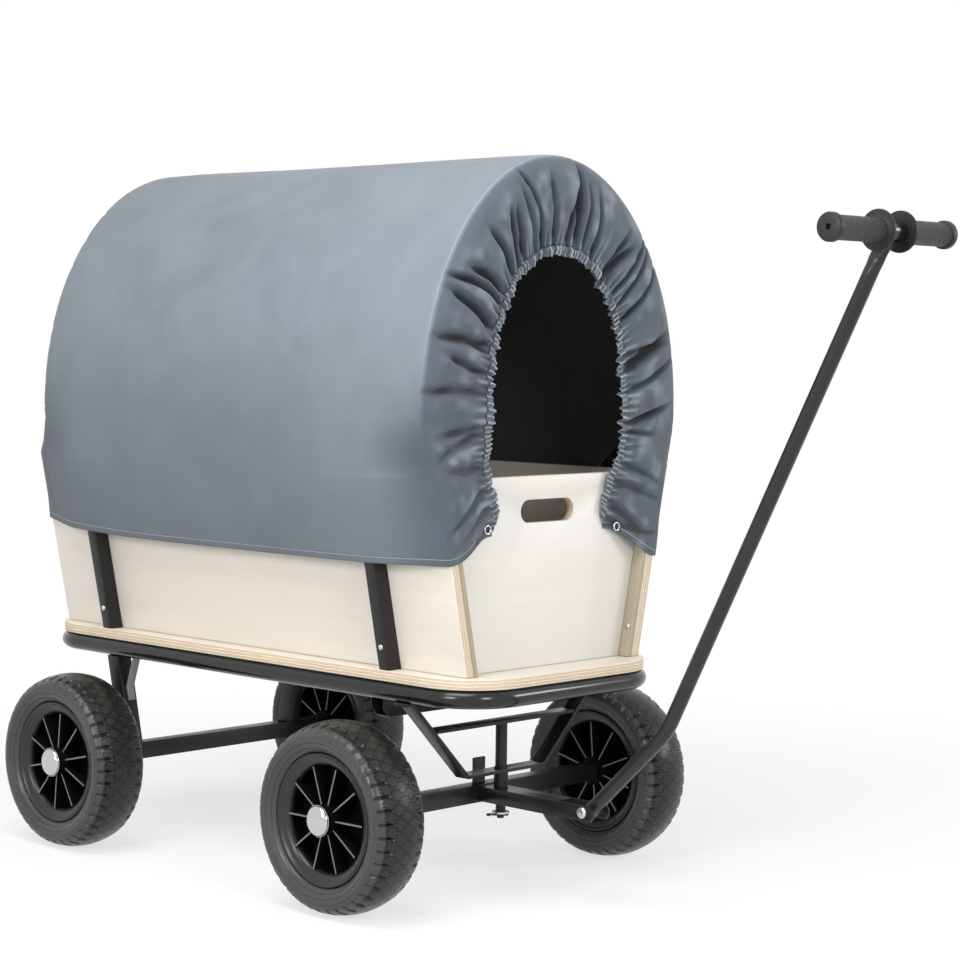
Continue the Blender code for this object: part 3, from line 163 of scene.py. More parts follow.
def shader_of(tree, kind, *terms):
    """A node that joins shaders, or a factor and shaders."""
    node = tree.nodes.new(kind)
    for socket, term in zip(node.inputs, terms):
        tree.links.new(term, socket)
    return node.outputs[0]


def make_floor():
    bpy.ops.mesh.primitive_plane_add(size=FLOOR_SIZE, location=(0.0, 0.0, 0.0))
    floor = bpy.context.object
    floor.name = "floor"
    material, tree, principled, texture = new_finish("pale_floor")
    tree.nodes.remove(principled)
    matt = add_node(tree, "ShaderNodeBsdfDiffuse", Color=grey(0.72)).outputs[0]
    shaded = add_node(tree, "ShaderNodeBsdfDiffuse", Color=grey(0.32)).outputs[0]
    glow = add_node(tree, "ShaderNodeEmission", Color=grey(1.0), Strength=0.68).outputs[0]
    white = add_node(tree, "ShaderNodeEmission", Color=grey(1.0), Strength=1.0).outputs[0]
    far = add_node(tree, "ShaderNodeVectorMath", operation="LENGTH", Vector=texture["Object"])
    fade = ramped(tree, far.outputs["Value"], *SHADOW_ENDS)
    lit = shader_of(tree, "ShaderNodeAddShader", shaded, glow)
    seen = shader_of(tree, "ShaderNodeMixShader", fade, lit, white)
    surface = shader_of(tree, "ShaderNodeMixShader", seen_ray(tree), matt, seen)
    fill(tree, tree.nodes["Material Output"], Surface=surface)
    floor.data.materials.append(material)
    return floor


def make_world(level):
    world = bpy.data.worlds.new("studio")
    world.use_nodes = True
    bpy.context.scene.world = world
    tree = world.node_tree
    strength = ramped(tree, seen_ray(tree), 0.0, 1.0, level, 1.0, "LINEAR")
    fill(tree, tree.nodes["Background"], Color=grey(1.0), Strength=strength)


def soft_lamp(name, place, aim, width, height, watts):
    bpy.ops.object.light_add(type="AREA", location=place)
    lamp = bpy.context.object
    lamp.name = name
    lamp.data.shape = "RECTANGLE"
    lamp.data.size = width
    lamp.data.size_y = height
    lamp.data.energy = watts
    lamp.rotation_euler = (Vector(aim) - Vector(place)).to_track_quat("-Z", "Y").to_euler()


bpy.context.scene.view_settings.view_transform = "Standard"
make_floor()
make_world(0.42)
soft_lamp("lamp_above", (0.3, -1.4, 3.0), (-0.1, 0.0, 0.5), 1.8, 1.4, 50)
soft_lamp("lamp_front", (3.4, -1.2, 1.7), (0.0, 0.0, 0.4), 0.9, 1.1, 40)
soft_lamp("lamp_far", (2.5, 2.3, 1.5), (0.1, 0.0, 0.6), 0.8, 0.9, 26)
soft_lamp("lamp_side", (0.5, -3.4, 1.7), (0.0, 0.0, 0.5), 1.0, 1.0, 44)

# %% [markdown]
# ## Ways of working
#
# Most steel and wooden pieces need only rounded edges, because no real edge is perfectly
# sharp. They could be modelled anew, but their sizes are already right, so a copy of the solid
# is merged into one skin, its flat triangles are joined, and a bevel rounds what is left.


# %% Helpers for modelling
def clear_selection():
    if bpy.context.object and bpy.context.object.mode != "OBJECT":
        bpy.ops.object.mode_set(mode="OBJECT")
    bpy.ops.object.select_all(action="DESELECT")


def take(obj):
    """Makes obj the only selected object."""
    clear_selection()
    obj.select_set(True)
    bpy.context.view_layer.objects.active = obj


def edit_all(obj):
    """Opens obj in edit mode with all of it selected."""
    take(obj)
    bpy.ops.object.mode_set(mode="EDIT")
    bpy.ops.mesh.select_all(action="SELECT")


def close_edit():
    bpy.ops.object.mode_set(mode="OBJECT")


def apply_all(obj):
    take(obj)
    for modifier in list(obj.modifiers):
        bpy.ops.object.modifier_apply(modifier=modifier.name)


def settle(obj):
    """Fixes obj's place, turn and size in its mesh."""
    take(obj)
    bpy.ops.object.transform_apply(location=True, rotation=True, scale=True)


def smooth_by_angle(obj, degrees=35.0):
    take(obj)
    bpy.ops.object.shade_smooth_by_angle(angle=math.radians(degrees))


def paint(obj, *materials):
    """Gives obj these materials and no others."""
    obj.data.materials.clear()
    for material in materials:
        obj.data.materials.append(material)


def finish(obj, material, body, replaces=()):
    """Fixes obj's place in its mesh, dresses it and hangs it on its body."""
    settle(obj)
    paint(obj, material)
    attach(obj, body)
    if replaces:
        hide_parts(*replaces)
    return obj


def body_of(node):
    """The body that a node is listed under in the record."""
    bodies = frame["record"]["behaviour"]["bodies"]
    return next(body for body, names in bodies.items() if node in names)


def dress(names, material, width, segments=2, angle=30.0, merge=0.00002):
    """Shows each solid as one skin with rounded edges. Points closer than merge become one."""
    for node in names:
        obj = bpy.data.objects.new(f"{node}_shown", nodes[node].data.copy())
        bpy.context.scene.collection.objects.link(obj)
        edit_all(obj)
        bpy.ops.mesh.remove_doubles(threshold=merge)
        bpy.ops.mesh.dissolve_limited(angle_limit=math.radians(1.0))
        close_edit()
        bevel = obj.modifiers.new("round", "BEVEL")
        bevel.width = width
        bevel.segments = segments
        bevel.limit_method = "ANGLE"
        bevel.angle_limit = math.radians(angle)
        apply_all(obj)
        smooth_by_angle(obj)
        finish(obj, material, body_of(node), [node])


print("helpers ready")

# %% [markdown]
# ## Finishes
#
# Each finish is a Principled shader whose colour, roughness and bumps come from procedural
# textures. Two effects are used by many finishes, so each is a node group: fine speckle, for
# paint and moulded plastic, and plywood, whose plies show wherever the sheet is cut.


# %% Node group: fine speckle
MIX_SOCKETS = {"RGBA": (0, 6, 7, 2), "FLOAT": (0, 2, 3, 0)}


def blended(tree, factor, first, second, kind="RGBA"):
    """A mix of two colours, or of two numbers. Each term is a value or a socket."""
    node = add_node(tree, "ShaderNodeMix", data_type=kind)
    *places, result = MIX_SOCKETS[kind]
    for index, term in zip(places, (factor, first, second)):
        put(tree, node.inputs[index], term)
    return node.outputs[result]


def clouds(tree, place, scale, detail, roughness=0.6, distortion=0.0):
    """Soft noise. Scale says how fine it is."""
    node = add_node(tree, "ShaderNodeTexNoise", Vector=place, Scale=scale, Detail=detail)
    return fill(tree, node, Roughness=roughness, Distortion=distortion).outputs[0]


def bumped(tree, height, distance, strength=1.0, **values):
    """A surface direction that follows the slopes of height."""
    node = add_node(tree, "ShaderNodeBump", Height=height, Distance=distance, Strength=strength, **values)
    return node.outputs[0]


def new_group(name, inputs, outputs):
    """A node group, its inputs and its output node. Inputs and outputs are labels with kinds."""
    group = bpy.data.node_groups.new(name, "ShaderNodeTree")
    for in_out, labels in (("INPUT", inputs), ("OUTPUT", outputs)):
        for label, kind in labels.items():
            group.interface.new_socket(name=label, in_out=in_out, socket_type=f"NodeSocket{kind}")
    given = group.nodes.new("NodeGroupInput").outputs
    return group, given, group.nodes.new("NodeGroupOutput")


def make_speckle_group():
    """Small grains and wide soft patches, for the bumps and the gloss of paint and plastic."""
    group, given, result = new_group(
        "fine_speckle",
        {
            "Place": "Vector",
            "Grain Size": "Float",
            "Bump": "Float",
            "Gloss Low": "Float",
            "Gloss High": "Float",
        },
        {"Patches": "Float", "Roughness": "Float", "Normal": "Vector"},
    )
    grain = clouds(group, given["Place"], given["Grain Size"], 2.0)
    patches = clouds(group, given["Place"], 14.0, 4.0)
    gloss = ramped(group, patches, 0.3, 0.7, given["Gloss Low"], given["Gloss High"], "LINEAR")
    normal = bumped(group, grain, 0.0004, given["Bump"])
    fill(group, result, Patches=patches, Roughness=gloss, Normal=normal)
    return group


SPECKLE = make_speckle_group()
print("group:", SPECKLE.name)


# %% Painted steel, plastics and bright metals
def speckled(tree, place, gloss, grain, bump):
    """The speckle group's results. Gloss is its lowest and highest roughness."""
    node = add_node(tree, "ShaderNodeGroup", node_tree=SPECKLE, Place=place, Grain_Size=grain, Bump=bump)
    return fill(tree, node, Gloss_Low=gloss[0], Gloss_High=gloss[1]).outputs


def speckled_finish(name, dark, light, gloss, grain=900.0, bump=0.1, metallic=0.0, coat=0.0, shine=0.5):
    """A finish whose colour drifts between dark and light and whose gloss drifts between two values."""
    material, tree, shader, texture = new_finish(name)
    speckle = speckled(tree, texture["Object"], gloss, grain, bump)
    colour = blended(tree, speckle["Patches"], dark, light)
    fill(tree, shader, Base_Color=colour, Roughness=speckle["Roughness"], Normal=speckle["Normal"])
    fill(tree, shader, Metallic=metallic, Specular_IOR_Level=shine, Coat_Weight=coat, Coat_Roughness=0.08)
    return material


black_paint = speckled_finish(
    "black_paint", grey(0.006), (0.014, 0.013, 0.013), (0.16, 0.26), 1100, 0.08, coat=0.30, shine=0.30
)
satin_black = speckled_finish(
    "satin_black", grey(0.009), (0.019, 0.018, 0.018), (0.28, 0.40), 1300, 0.14, shine=0.32
)
grey_paint = speckled_finish("grey_paint", grey(0.22), grey(0.32), (0.34, 0.46), 1200, 0.12)
rim_plastic = speckled_finish("rim_plastic", grey(0.012), grey(0.024), (0.26, 0.38), 1500, 0.12, shine=0.42)
# Near-black matte copy of the rim plastic for the web between the ribs: painted shade.
shaded_web_plastic = speckled_finish("shaded_web_plastic", grey(0.002), grey(0.004), (0.60, 0.75), 1500, 0.10, shine=0.08)
zinc_plate = speckled_finish(
    "zinc_plate", (0.50, 0.51, 0.52), (0.68, 0.68, 0.67), (0.22, 0.36), 900, 0.08, metallic=1.0
)
bright_chrome = speckled_finish(
    "bright_chrome", (0.52, 0.52, 0.51), (0.62, 0.62, 0.61), (0.10, 0.17), 600, 0.02, metallic=1.0
)
pale_nylon = speckled_finish("pale_nylon", (0.60, 0.59, 0.54), (0.70, 0.69, 0.65), (0.42, 0.55))
olive_stain = speckled_finish(
    "olive_stain", (0.36, 0.31, 0.21), (0.46, 0.41, 0.30), (0.45, 0.60), 500, 0.25
)
print("finishes:", [m.name for m in bpy.data.materials])

# %% [markdown]
# ### Plywood
#
# A plywood sheet is glued from thin veneers, and the grain of each lies across the one below.
# So the material is a solid one: it reads how deep a point lies in the sheet. At the faces it
# is pale birch with long soft grain, and along a cut edge it shows the plies as tan stripes
# with thin dark glue lines.


# %% Node group: plywood
SHEET_THICKNESS = 0.015
PLIES = 7.0


def times(tree, first, second):
    return maths(tree, "MULTIPLY", first, second)


def split(tree, vector):
    """The X, Y and Z of a vector."""
    return add_node(tree, "ShaderNodeSeparateXYZ", Vector=vector).outputs


def stretched_clouds(tree, place, stretch, scale, detail, roughness, distortion=0.0):
    """Noise that is drawn out along the grain."""
    node = add_node(tree, "ShaderNodeVectorMath", operation="MULTIPLY", Vector=place)
    node.inputs[1].default_value = stretch
    return clouds(tree, node.outputs[0], scale, detail, roughness, distortion)


def make_plywood_group():
    group, given, result = new_group(
        "plywood_sheet",
        {"Depth": "Float", "Grain": "Vector", "Face Dark": "Color", "Face Light": "Color"},
        {"Colour": "Color", "Roughness": "Float", "Normal": "Vector"},
    )
    long_grain = stretched_clouds(group, given["Grain"], (0.35, 5.0, 5.0), 7.0, 6.0, 0.62, 0.6)
    fine_grain = stretched_clouds(group, given["Grain"], (0.3, 8.0, 8.0), 60.0, 3.0, 0.7)
    figure = maths(group, "MULTIPLY_ADD", fine_grain, 0.35, long_grain)
    figure = maths(group, "SUBTRACT", figure, 0.20)
    face = blended(group, figure, given["Face Dark"], given["Face Light"])
    share = maths(group, "DIVIDE", given["Depth"], SHEET_THICKNESS)
    wobble = maths(group, "MULTIPLY_ADD", long_grain, 1.6, -0.80)
    ply = maths(group, "ADD", times(group, share, PLIES), wobble)
    across = maths(group, "GREATER_THAN", maths(group, "FRACT", times(group, ply, 0.5)), 0.5)
    edge = blended(group, across, (0.84, 0.74, 0.58), (0.66, 0.51, 0.35))
    edge = blended(group, times(group, fine_grain, 0.55), edge, (0.74, 0.62, 0.47))
    from_glue = maths(group, "PINGPONG", maths(group, "FRACT", ply), 0.5)
    glue = maths(group, "LESS_THAN", from_glue, 0.07)
    broken = maths(group, "GREATER_THAN", fine_grain, 0.44)
    edge = blended(group, times(group, times(group, glue, broken), 0.75), edge, (0.17, 0.09, 0.045))
    is_edge = ramped(group, maths(group, "PINGPONG", share, 0.5), 0.035, 0.06, kind="LINEAR")
    rough = maths(group, "MULTIPLY_ADD", is_edge, 0.20, 0.42)
    rough = maths(group, "MULTIPLY_ADD", fine_grain, 0.10, rough)
    normal = bumped(group, figure, 0.0005, 0.10)
    fill(group, result, Colour=blended(group, is_edge, face, edge), Roughness=rough, Normal=normal)
    return group


PLYWOOD = make_plywood_group()
FLARE = 0.207
LEAN = math.sqrt(1 + FLARE**2)
side_low, side_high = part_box("side_panel_left")
BOX_BOTTOM = side_low.z
BOX_FOOT = side_high.y - FLARE * (side_high.z - side_low.z)


def box_width(z):
    """Half the box's outer width at this height."""
    return BOX_FOOT + FLARE * (z - BOX_BOTTOM)


def plywood_finish(name, depth_of, turn=0.0, dark=(0.77, 0.71, 0.62), light=(0.87, 0.82, 0.74)):
    """Plywood whose depth is worked out from the point's place. Turn brings the grain along X."""
    material, tree, shader, texture = new_finish(name)
    place = texture["Object"]
    grain = add_node(tree, "ShaderNodeMapping", Vector=place, Rotation=(0.0, 0.0, turn)).outputs[0]
    node = add_node(tree, "ShaderNodeGroup", node_tree=PLYWOOD, Face_Dark=dark, Face_Light=light)
    sheet = fill(tree, node, Grain=grain, Depth=depth_of(tree, split(tree, place))).outputs
    fill(tree, shader, Base_Color=sheet["Colour"], Roughness=sheet["Roughness"], Normal=sheet["Normal"])
    fill(tree, shader, Coat_Weight=0.12, Coat_Roughness=0.35)
    return material


def depth_in_side(tree, axes):
    """How far a point lies behind the outer face of the side panel that it belongs to."""
    outer = maths(tree, "MULTIPLY_ADD", axes["Z"], FLARE, box_width(0.0))
    gap = maths(tree, "SUBTRACT", outer, maths(tree, "ABSOLUTE", axes["Y"]))
    return maths(tree, "DIVIDE", gap, LEAN)


def depth_in_front(tree, axes):
    return maths(tree, "SUBTRACT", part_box("front_panel")[1].x, axes["X"])


def depth_in_rear(tree, axes):
    return maths(tree, "SUBTRACT", axes["X"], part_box("rear_panel")[0].x)


def depth_in_deck(tree, axes):
    return maths(tree, "SUBTRACT", board_high.z, axes["Z"])


ply_side = plywood_finish("ply_side", depth_in_side)
ply_front = plywood_finish(
    "ply_front", depth_in_front, math.pi / 2, (0.745, 0.720, 0.670), (0.820, 0.805, 0.760)
)
ply_rear = plywood_finish("ply_rear", depth_in_rear, math.pi / 2)
ply_deck = plywood_finish("ply_deck", depth_in_deck, 0.0, (0.70, 0.645, 0.56), (0.77, 0.725, 0.645))
print("group:", PLYWOOD.name)

# %% [markdown]
# ## The box and the deck
#
# The boards are the solids themselves with their edges eased, as a router leaves them.

# %% Boards
corners = ["front_right", "front_left", "rear_right", "rear_left"]
dress(["deck_board"], ply_deck, 0.0012, 3, merge=0.0005)
dress(["side_panel_right", "side_panel_left"], ply_side, 0.0008, 2, 20.0)
dress(["front_panel"], ply_front, 0.0008, 2, 20.0)
dress(["rear_panel"], ply_rear, 0.0008, 2, 20.0)
dress([f"{c}_batten" for c in corners], olive_stain, 0.0006, 2, 20.0)

# %% [markdown]
# ## The deck's rim
#
# A steel tube is bent to a rectangle with wide corners. A plane gives the rectangle, a bevel
# on its four points rounds the corners, and the outline becomes a tube.

# %% Deck rim
TUBE_RADIUS = 0.0128
RIM_CORNER = 0.0773
rim_low, rim_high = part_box("deck_rim")


def make_deck_rim():
    clear_selection()
    bpy.ops.mesh.primitive_plane_add(size=1.0, location=(rim_low + rim_high) / 2)
    obj = bpy.context.object
    obj.name = "deck_rim_tube"
    size = rim_high - rim_low
    obj.scale = (size.x - 2 * TUBE_RADIUS, size.y - 2 * TUBE_RADIUS, 1.0)
    bpy.ops.object.transform_apply(location=False, rotation=False, scale=True)
    edit_all(obj)
    bpy.ops.mesh.bevel(offset=RIM_CORNER, segments=18, affect="VERTICES", clamp_overlap=False)
    bpy.ops.mesh.delete(type="ONLY_FACE")
    close_edit()
    bpy.ops.object.convert(target="CURVE")
    obj.data.bevel_depth = TUBE_RADIUS
    obj.data.bevel_resolution = 8
    bpy.ops.object.convert(target="MESH")
    smooth_by_angle(obj, 60.0)
    return finish(obj, black_paint, "frame", ["deck_rim"])


print("deck rim faces:", len(make_deck_rim().data.polygons))

# %% [markdown]
# ## Square tubes, straps and bars
#
# Square steel tube has a small outside radius. Straps are sheared from flat bar, so their
# edges are only just broken. The hoops, pins and rods keep their solids and only get a finish.

# %% Steel pieces
dress([f"{c}_upright" for c in corners], satin_black, 0.0018, 3)
dress(["rear_right_strut", "rear_left_strut"], satin_black, 0.0018, 3)
dress(["front_axle_tube", "rear_axle_tube"], satin_black, 0.0016, 3)
dress(["front_crossbar", "rear_crossbar"], satin_black, 0.0016, 3)
dress(["hanger_strap", "cross_strap"], satin_black, 0.0006, 2)
dress(["rear_right_brace", "rear_left_brace"], grey_paint, 0.0005, 2)
dress(["drawbar"], satin_black, 0.0008, 2)
for node in ("front_hoop", "rear_hoop", "kingpin", "steering_bush", "cotter_pin"):
    paint(nodes[node], satin_black)
for node in ("kingpin_washer", "handle_bush", "front_axle_rod", "rear_axle_rod"):
    paint(nodes[node], zinc_plate)
for c in corners:
    paint(nodes[f"{c}_bush"], pale_nylon)
print("steel pieces dressed")

# %% [markdown]
# ## Turned pieces
#
# Wheels, caps, grips and bolts are round about an axis. Each could be stacked from cylinders,
# but one outline, spun round the axis, gives its domes and fillets at once. An outline starts
# as a circle whose points are moved. Sockets, holes and slots are cut out afterwards.

# %% Helpers for turned pieces
SAME_POINT = 0.00001


def ring_of_points(name, places):
    """A closed line through these places."""
    clear_selection()
    bpy.ops.mesh.primitive_circle_add(
        vertices=len(places), radius=1.0, fill_type="NOTHING", location=(0, 0, 0)
    )
    obj = bpy.context.object
    obj.name = name
    for vertex, place in zip(obj.data.vertices, places):
        vertex.co = place
    return obj


def turned(name, outline, steps, place, axis):
    """Spins a closed outline of (radius, along) points round the axis through place."""
    obj = ring_of_points(name, [(radius, 0.0, along) for radius, along in outline])
    edit_all(obj)
    bpy.ops.mesh.spin(steps=steps, angle=math.tau, center=(0, 0, 0), axis=(0, 0, 1))
    bpy.ops.mesh.select_all(action="SELECT")
    bpy.ops.mesh.remove_doubles(threshold=SAME_POINT)
    bpy.ops.mesh.dissolve_degenerate(threshold=SAME_POINT)
    bpy.ops.mesh.select_all(action="SELECT")
    bpy.ops.mesh.normals_make_consistent(inside=False)
    close_edit()
    turn = Vector((0, 0, 1)).rotation_difference(Vector(axis)).to_matrix().to_4x4()
    obj.matrix_world = Matrix.Translation(place) @ turn
    smooth_by_angle(obj)
    settle(obj)
    return obj


def cut_away(obj, cutter):
    """Cuts the shape of cutter out of obj, and removes cutter."""
    cut = obj.modifiers.new("cut", "BOOLEAN")
    cut.object = cutter
    cut.solver = "EXACT"
    apply_all(obj)
    bpy.data.objects.remove(cutter, do_unlink=True)


print("points closer than", SAME_POINT, "m are merged")

# %% [markdown]
# ### The pivot bolt
#
# The bolt that the handle tilts on has a low domed head with a six-sided socket, and a nut at
# its other end. Both are turned in one outline, and the socket is cut out of the head.

# %% Pivot bolt
HEAD_HEIGHT = 0.0042
BOLT_SHANK = 0.004
NUT_HEIGHT = 0.0065
SOCKET_DEPTH = 0.0025


def make_pivot_bolt():
    low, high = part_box("pivot_bolt")
    length = high.y - low.y
    head = (high.z - low.z) / 2
    outline = [(0.0, 0.0), (head * 0.55, 0.0002), (head * 0.80, 0.0008), (head * 0.95, 0.0019)]
    outline += [(head, 0.0028), (head, HEAD_HEIGHT), (BOLT_SHANK, HEAD_HEIGHT)]
    outline += [(BOLT_SHANK, length - NUT_HEIGHT), (head * 0.85, length - NUT_HEIGHT)]
    outline += [(head * 0.85, length), (0.0, length)]
    foot = Vector(((low.x + high.x) / 2, low.y, (low.z + high.z) / 2))
    obj = turned("pivot_bolt_shown", outline, 64, foot, (0, 1, 0))
    clear_selection()
    bpy.ops.mesh.primitive_cylinder_add(
        vertices=6, radius=head * 0.46, depth=2 * SOCKET_DEPTH, location=foot, rotation=(math.pi / 2, 0, 0)
    )
    cut_away(obj, bpy.context.object)
    smooth_by_angle(obj, 35.0)
    return finish(obj, zinc_plate, "steering", ["pivot_bolt"])


print("bolt faces:", len(make_pivot_bolt().data.polygons))

# %% [markdown]
# ## The canopy's shape
#
# The cloth is cut as one cover: a roof and sides over the two hoops, and a gathered wall at each
# end with an opening that elastic draws in. The cover is one grid. Its rows run from the right
# hem over the roof to the left hem, and its columns from the edge of the rear opening, along the
# roof, to the edge of the front one. Each point's place follows from how far round and how far
# along it lies, so the whole cover can be shaped by a few short rules.

# %% Canopy: the lines that its shape follows
SPRING = 0.660
HALF_WIDTH = 0.260
RISE = 0.366
TUCK = 0.4315
SHOULDER = 0.5904
HEM = 0.469
WRAP = 0.4425
CREASE = {"rear": -0.395, "front": 0.431}
FACING = {"rear": -1.0, "front": 1.0}
CORNER_HEM = {("rear", -1): 0.486, ("rear", 1): 0.486, ("front", -1): 0.4725, ("front", 1): 0.463}
SIDE_SHARE = 0.30
FOOT = (0.1135, 0.5065)
FOOT_X = 0.4236
MOUTH = (0.143, 0.241, 2.2)
MOUTH_OUT = 0.008


def smoothstep(low, high, value):
    """0 at low and 1 at high, with a soft start and end. Low may be the greater."""
    share = min(1.0, max(0.0, (value - low) / (high - low)))
    return share * share * (3 - 2 * share)


def mix(first, second, share):
    return first + (second - first) * share


def round_place(place):
    """A place round the cover, from 0 to 1, as a level above the hem and the sign of its side."""
    return 2 * min(place, 1.0 - place), -1 if place < 0.5 else 1


def held_width(z):
    """Half the cover's width where it hangs beside the box."""
    return box_width(z) + 0.0024 + 0.0040 * smoothstep(0.53, 0.47, z)


def tucked_width(z):
    """Half the cover's width between the box's corners, outside the uprights."""
    return HALF_WIDTH * math.sqrt(1 - ((SPRING - z) / TUCK) ** 2)


def arch_angle(level):
    return math.pi / 2 * (level - SIDE_SHARE) / (1 - SIDE_SHARE)


def corner_point(end, level, sign):
    """Where a side turns into the end wall. Level runs from 0 at the hem to 1 at the top."""
    if level >= SIDE_SHARE:
        angle = arch_angle(level)
        return Vector((CREASE[end], sign * HALF_WIDTH * math.cos(angle), SPRING + RISE * math.sin(angle)))
    z = mix(CORNER_HEM[end, sign], SPRING, level / SIDE_SHARE)
    free = smoothstep(SHOULDER - 0.01, SPRING + 0.01, z)
    x = mix(FACING[end] * WRAP, CREASE[end], free)
    return Vector((x, sign * mix(held_width(z), tucked_width(z), free), z))


def mouth_point(end, level, sign):
    """The edge of the opening in an end wall."""
    out = CREASE[end] + FACING[end] * MOUTH_OUT
    if level >= SIDE_SHARE:
        angle = arch_angle(level)
        power = 2 / MOUTH[2]
        y = MOUTH[0] * max(0.0, math.cos(angle)) ** power
        return Vector((out, sign * y, SPRING + MOUTH[1] * math.sin(angle) ** power))
    share = level / SIDE_SHARE
    x = mix(FACING[end] * FOOT_X, out, smoothstep(0.45, 1.0, share))
    y = mix(FOOT[0], MOUTH[0], smoothstep(0.1, 0.75, share))
    return Vector((x, sign * y, mix(FOOT[1], SPRING, share)))


print("top of the cover at", round(SPRING + RISE, 3))

# %% [markdown]
# ### Folds of the end walls
#
# The wall is far longer at the hoop than at the elastic, so the spare cloth folds. Each fold is
# a valley that starts somewhere below the hoop, deepens towards the opening, and breaks up
# into fine pleats there. The folds come from a seeded list, so they are the same on each run.

# %% Canopy: folds
DEEP_FOLDS = 36
FINE_FOLDS = 64
PLEATS = 104


def make_folds(seed):
    """Folds as (place round the opening, drift, width, depth, where it starts)."""
    chance = random.Random(seed)
    folds = []
    for index in range(DEEP_FOLDS):
        place = (index + chance.uniform(0.1, 0.9)) / DEEP_FOLDS
        drift = chance.uniform(-0.035, 0.035)
        width = chance.uniform(0.0036, 0.0078)
        folds.append((place, drift, width, chance.uniform(0.008, 0.019), chance.uniform(-0.15, 0.35)))
    for index in range(FINE_FOLDS):
        place = (index + chance.uniform(0.1, 0.9)) / FINE_FOLDS
        drift = chance.uniform(-0.020, 0.020)
        depth = chance.choice((1.0, -0.7)) * chance.uniform(0.002, 0.0048)
        folds.append((place, drift, chance.uniform(0.0028, 0.0050), depth, chance.uniform(0.35, 0.75)))
    return folds


FOLDS = {"front": make_folds(7), "rear": make_folds(19)}


def fold_depth(end, place, share):
    """How far the folds push the wall in at this place round the opening, and the painted shade they give:
    over 0 darkens a valley as painted shade, under 0 lightens a ridge as painted highlight.
    """
    total = 0.0
    near_mouth = 1.0 - 0.62 * smoothstep(0.80, 1.0, share)
    for centre, drift, width, depth, start in FOLDS[end]:
        across = (place - centre - drift * (1.0 - share) ** 1.3) / (width * (0.50 + 0.45 * share))
        if abs(across) < 2.6:
            begun = smoothstep(start, start + 0.38, share)
            total += depth * math.exp(-across * across) * begun * near_mouth
    ripple = math.sin(math.tau * PLEATS * place + 2.2 * math.sin(place * 61.0))
    ripple *= smoothstep(0.72, 0.96, share)
    crumple = noise.noise(Vector((place * 30.0, share * 4.0, FACING[end] * 5.0)))
    crumple += 0.5 * noise.noise(Vector((place * 75.0, share * 7.0, FACING[end] * 9.0)))
    crumple *= smoothstep(0.0, 0.30, share)
    # Painted shade for the valleys and painted highlight for the ridges, from the folds, pleats and
    # crumples.
    shade = total / 0.011 + 0.45 * ripple + 0.5 * crumple
    return 1.25 * total + 0.0018 * ripple + 0.0036 * crumple, shade


def wall_point(end, place, share):
    """A point of an end wall, from its corner at share 0 to the opening's edge at share 1."""
    level, sign = round_place(place)
    corner = corner_point(end, level, sign)
    mouth = mouth_point(end, level, sign)
    point = corner.lerp(mouth, share)
    low = 1.0 - smoothstep(SIDE_SHARE * 0.55, SIDE_SHARE * 1.15, level)
    if level < SIDE_SHARE:
        bow = (smoothstep(0.0, 1.0, share) - share) * (1.0 - level / SIDE_SHARE)
        point.z += (mouth.z - corner.z) * bow
        flat = mix(corner.x, mouth.x, smoothstep(0.24, 1.0, share))
        point.x = mix(point.x, flat, 1.0 - max(0.0, point.z - SHOULDER) / (SPRING - SHOULDER))
    depth = fold_depth(end, place, share)[0]
    foot = smoothstep(0.0, 0.05, level)
    belly = 0.017 * math.sin(math.pi * min(1.0, share) ** 0.75) * smoothstep(0.2, 0.5, level)
    lifted = smoothstep(0.26, 0.55, share) * (0.0050 * foot - min(0.0048, depth * 0.6))
    point.x += FACING[end] * mix(belly - depth, lifted * foot, low)
    return point


print("folds:", {end: len(folds) for end, folds in FOLDS.items()})

# %% [markdown]
# ### The cover
#
# The grid is a primitive whose points are moved to their places. Its UV map is laid out in
# metres, across from the front crease and up from the hem, so that the sewing follows the hem.
# Cloth could also be draped by simulation, but the real folds have set places round the
# elastic, and points that are placed by rule come closer to them.

# %% Canopy: the grid and its points
ROWS = 680
WALL_STEPS = [0.0, 0.025, 0.065] + [k / 24 for k in range(3, 25)]
SIDE_STEPS = [0, 0.006, 0.015, 0.03, 0.06, 0.10, 0.16, 0.25, 0.37, 0.5]
SIDE_STEPS += [0.63, 0.75, 0.84, 0.9, 0.94, 0.97, 0.985, 0.994, 1]
WALLS = len(WALL_STEPS) - 1
COLUMNS = len(SIDE_STEPS) - 1 + 2 * WALLS


def side_point(place, share):
    """A point of the roof or a side, from the rear crease at share 0 to the front one at share 1."""
    level, sign = round_place(place)
    point = corner_point("rear", level, sign).lerp(corner_point("front", level, sign), share)
    from_end = min(share, 1.0 - share)
    if level < SIDE_SHARE:
        rise = max(0.0, 1.0 - share / 0.13) ** 1.5 * 0.012 + 0.005 * (1.0 - smoothstep(0.1, 0.3, share))
        rise += (CORNER_HEM["front", sign] - HEM) * max(0.0, 1.0 - (1.0 - share) / 0.2)
        point.z = mix(HEM + rise, SPRING, level / SIDE_SHARE)
        point.y = mix(point.y, sign * tucked_width(point.z), smoothstep(0.0, 0.13, from_end))
    soft = noise.noise(Vector((share * 3.2, place * 9.0, 4.0))) * 0.0022
    soft += noise.noise(Vector((share * 9.0, place * 22.0, 1.0))) * 0.0008
    out = Vector((0.0, point.y, 0.55 * (point.z - SPRING) if point.z > SPRING else 0.0)).normalized()
    return point + out * soft * smoothstep(0.0, 0.06, from_end) * smoothstep(0.0, 0.12, level)


def wall_of(column):
    """The end whose wall a column lies in, or None for the roof, and the column's share."""
    if column < WALLS:
        return "rear", WALL_STEPS[WALLS - column]
    if column > COLUMNS - WALLS:
        return "front", WALL_STEPS[column - COLUMNS + WALLS]
    return None, SIDE_STEPS[column - WALLS]


def cover_point(row, column):
    end, share = wall_of(column)
    return wall_point(end, row / ROWS, share) if end else side_point(row / ROWS, share)


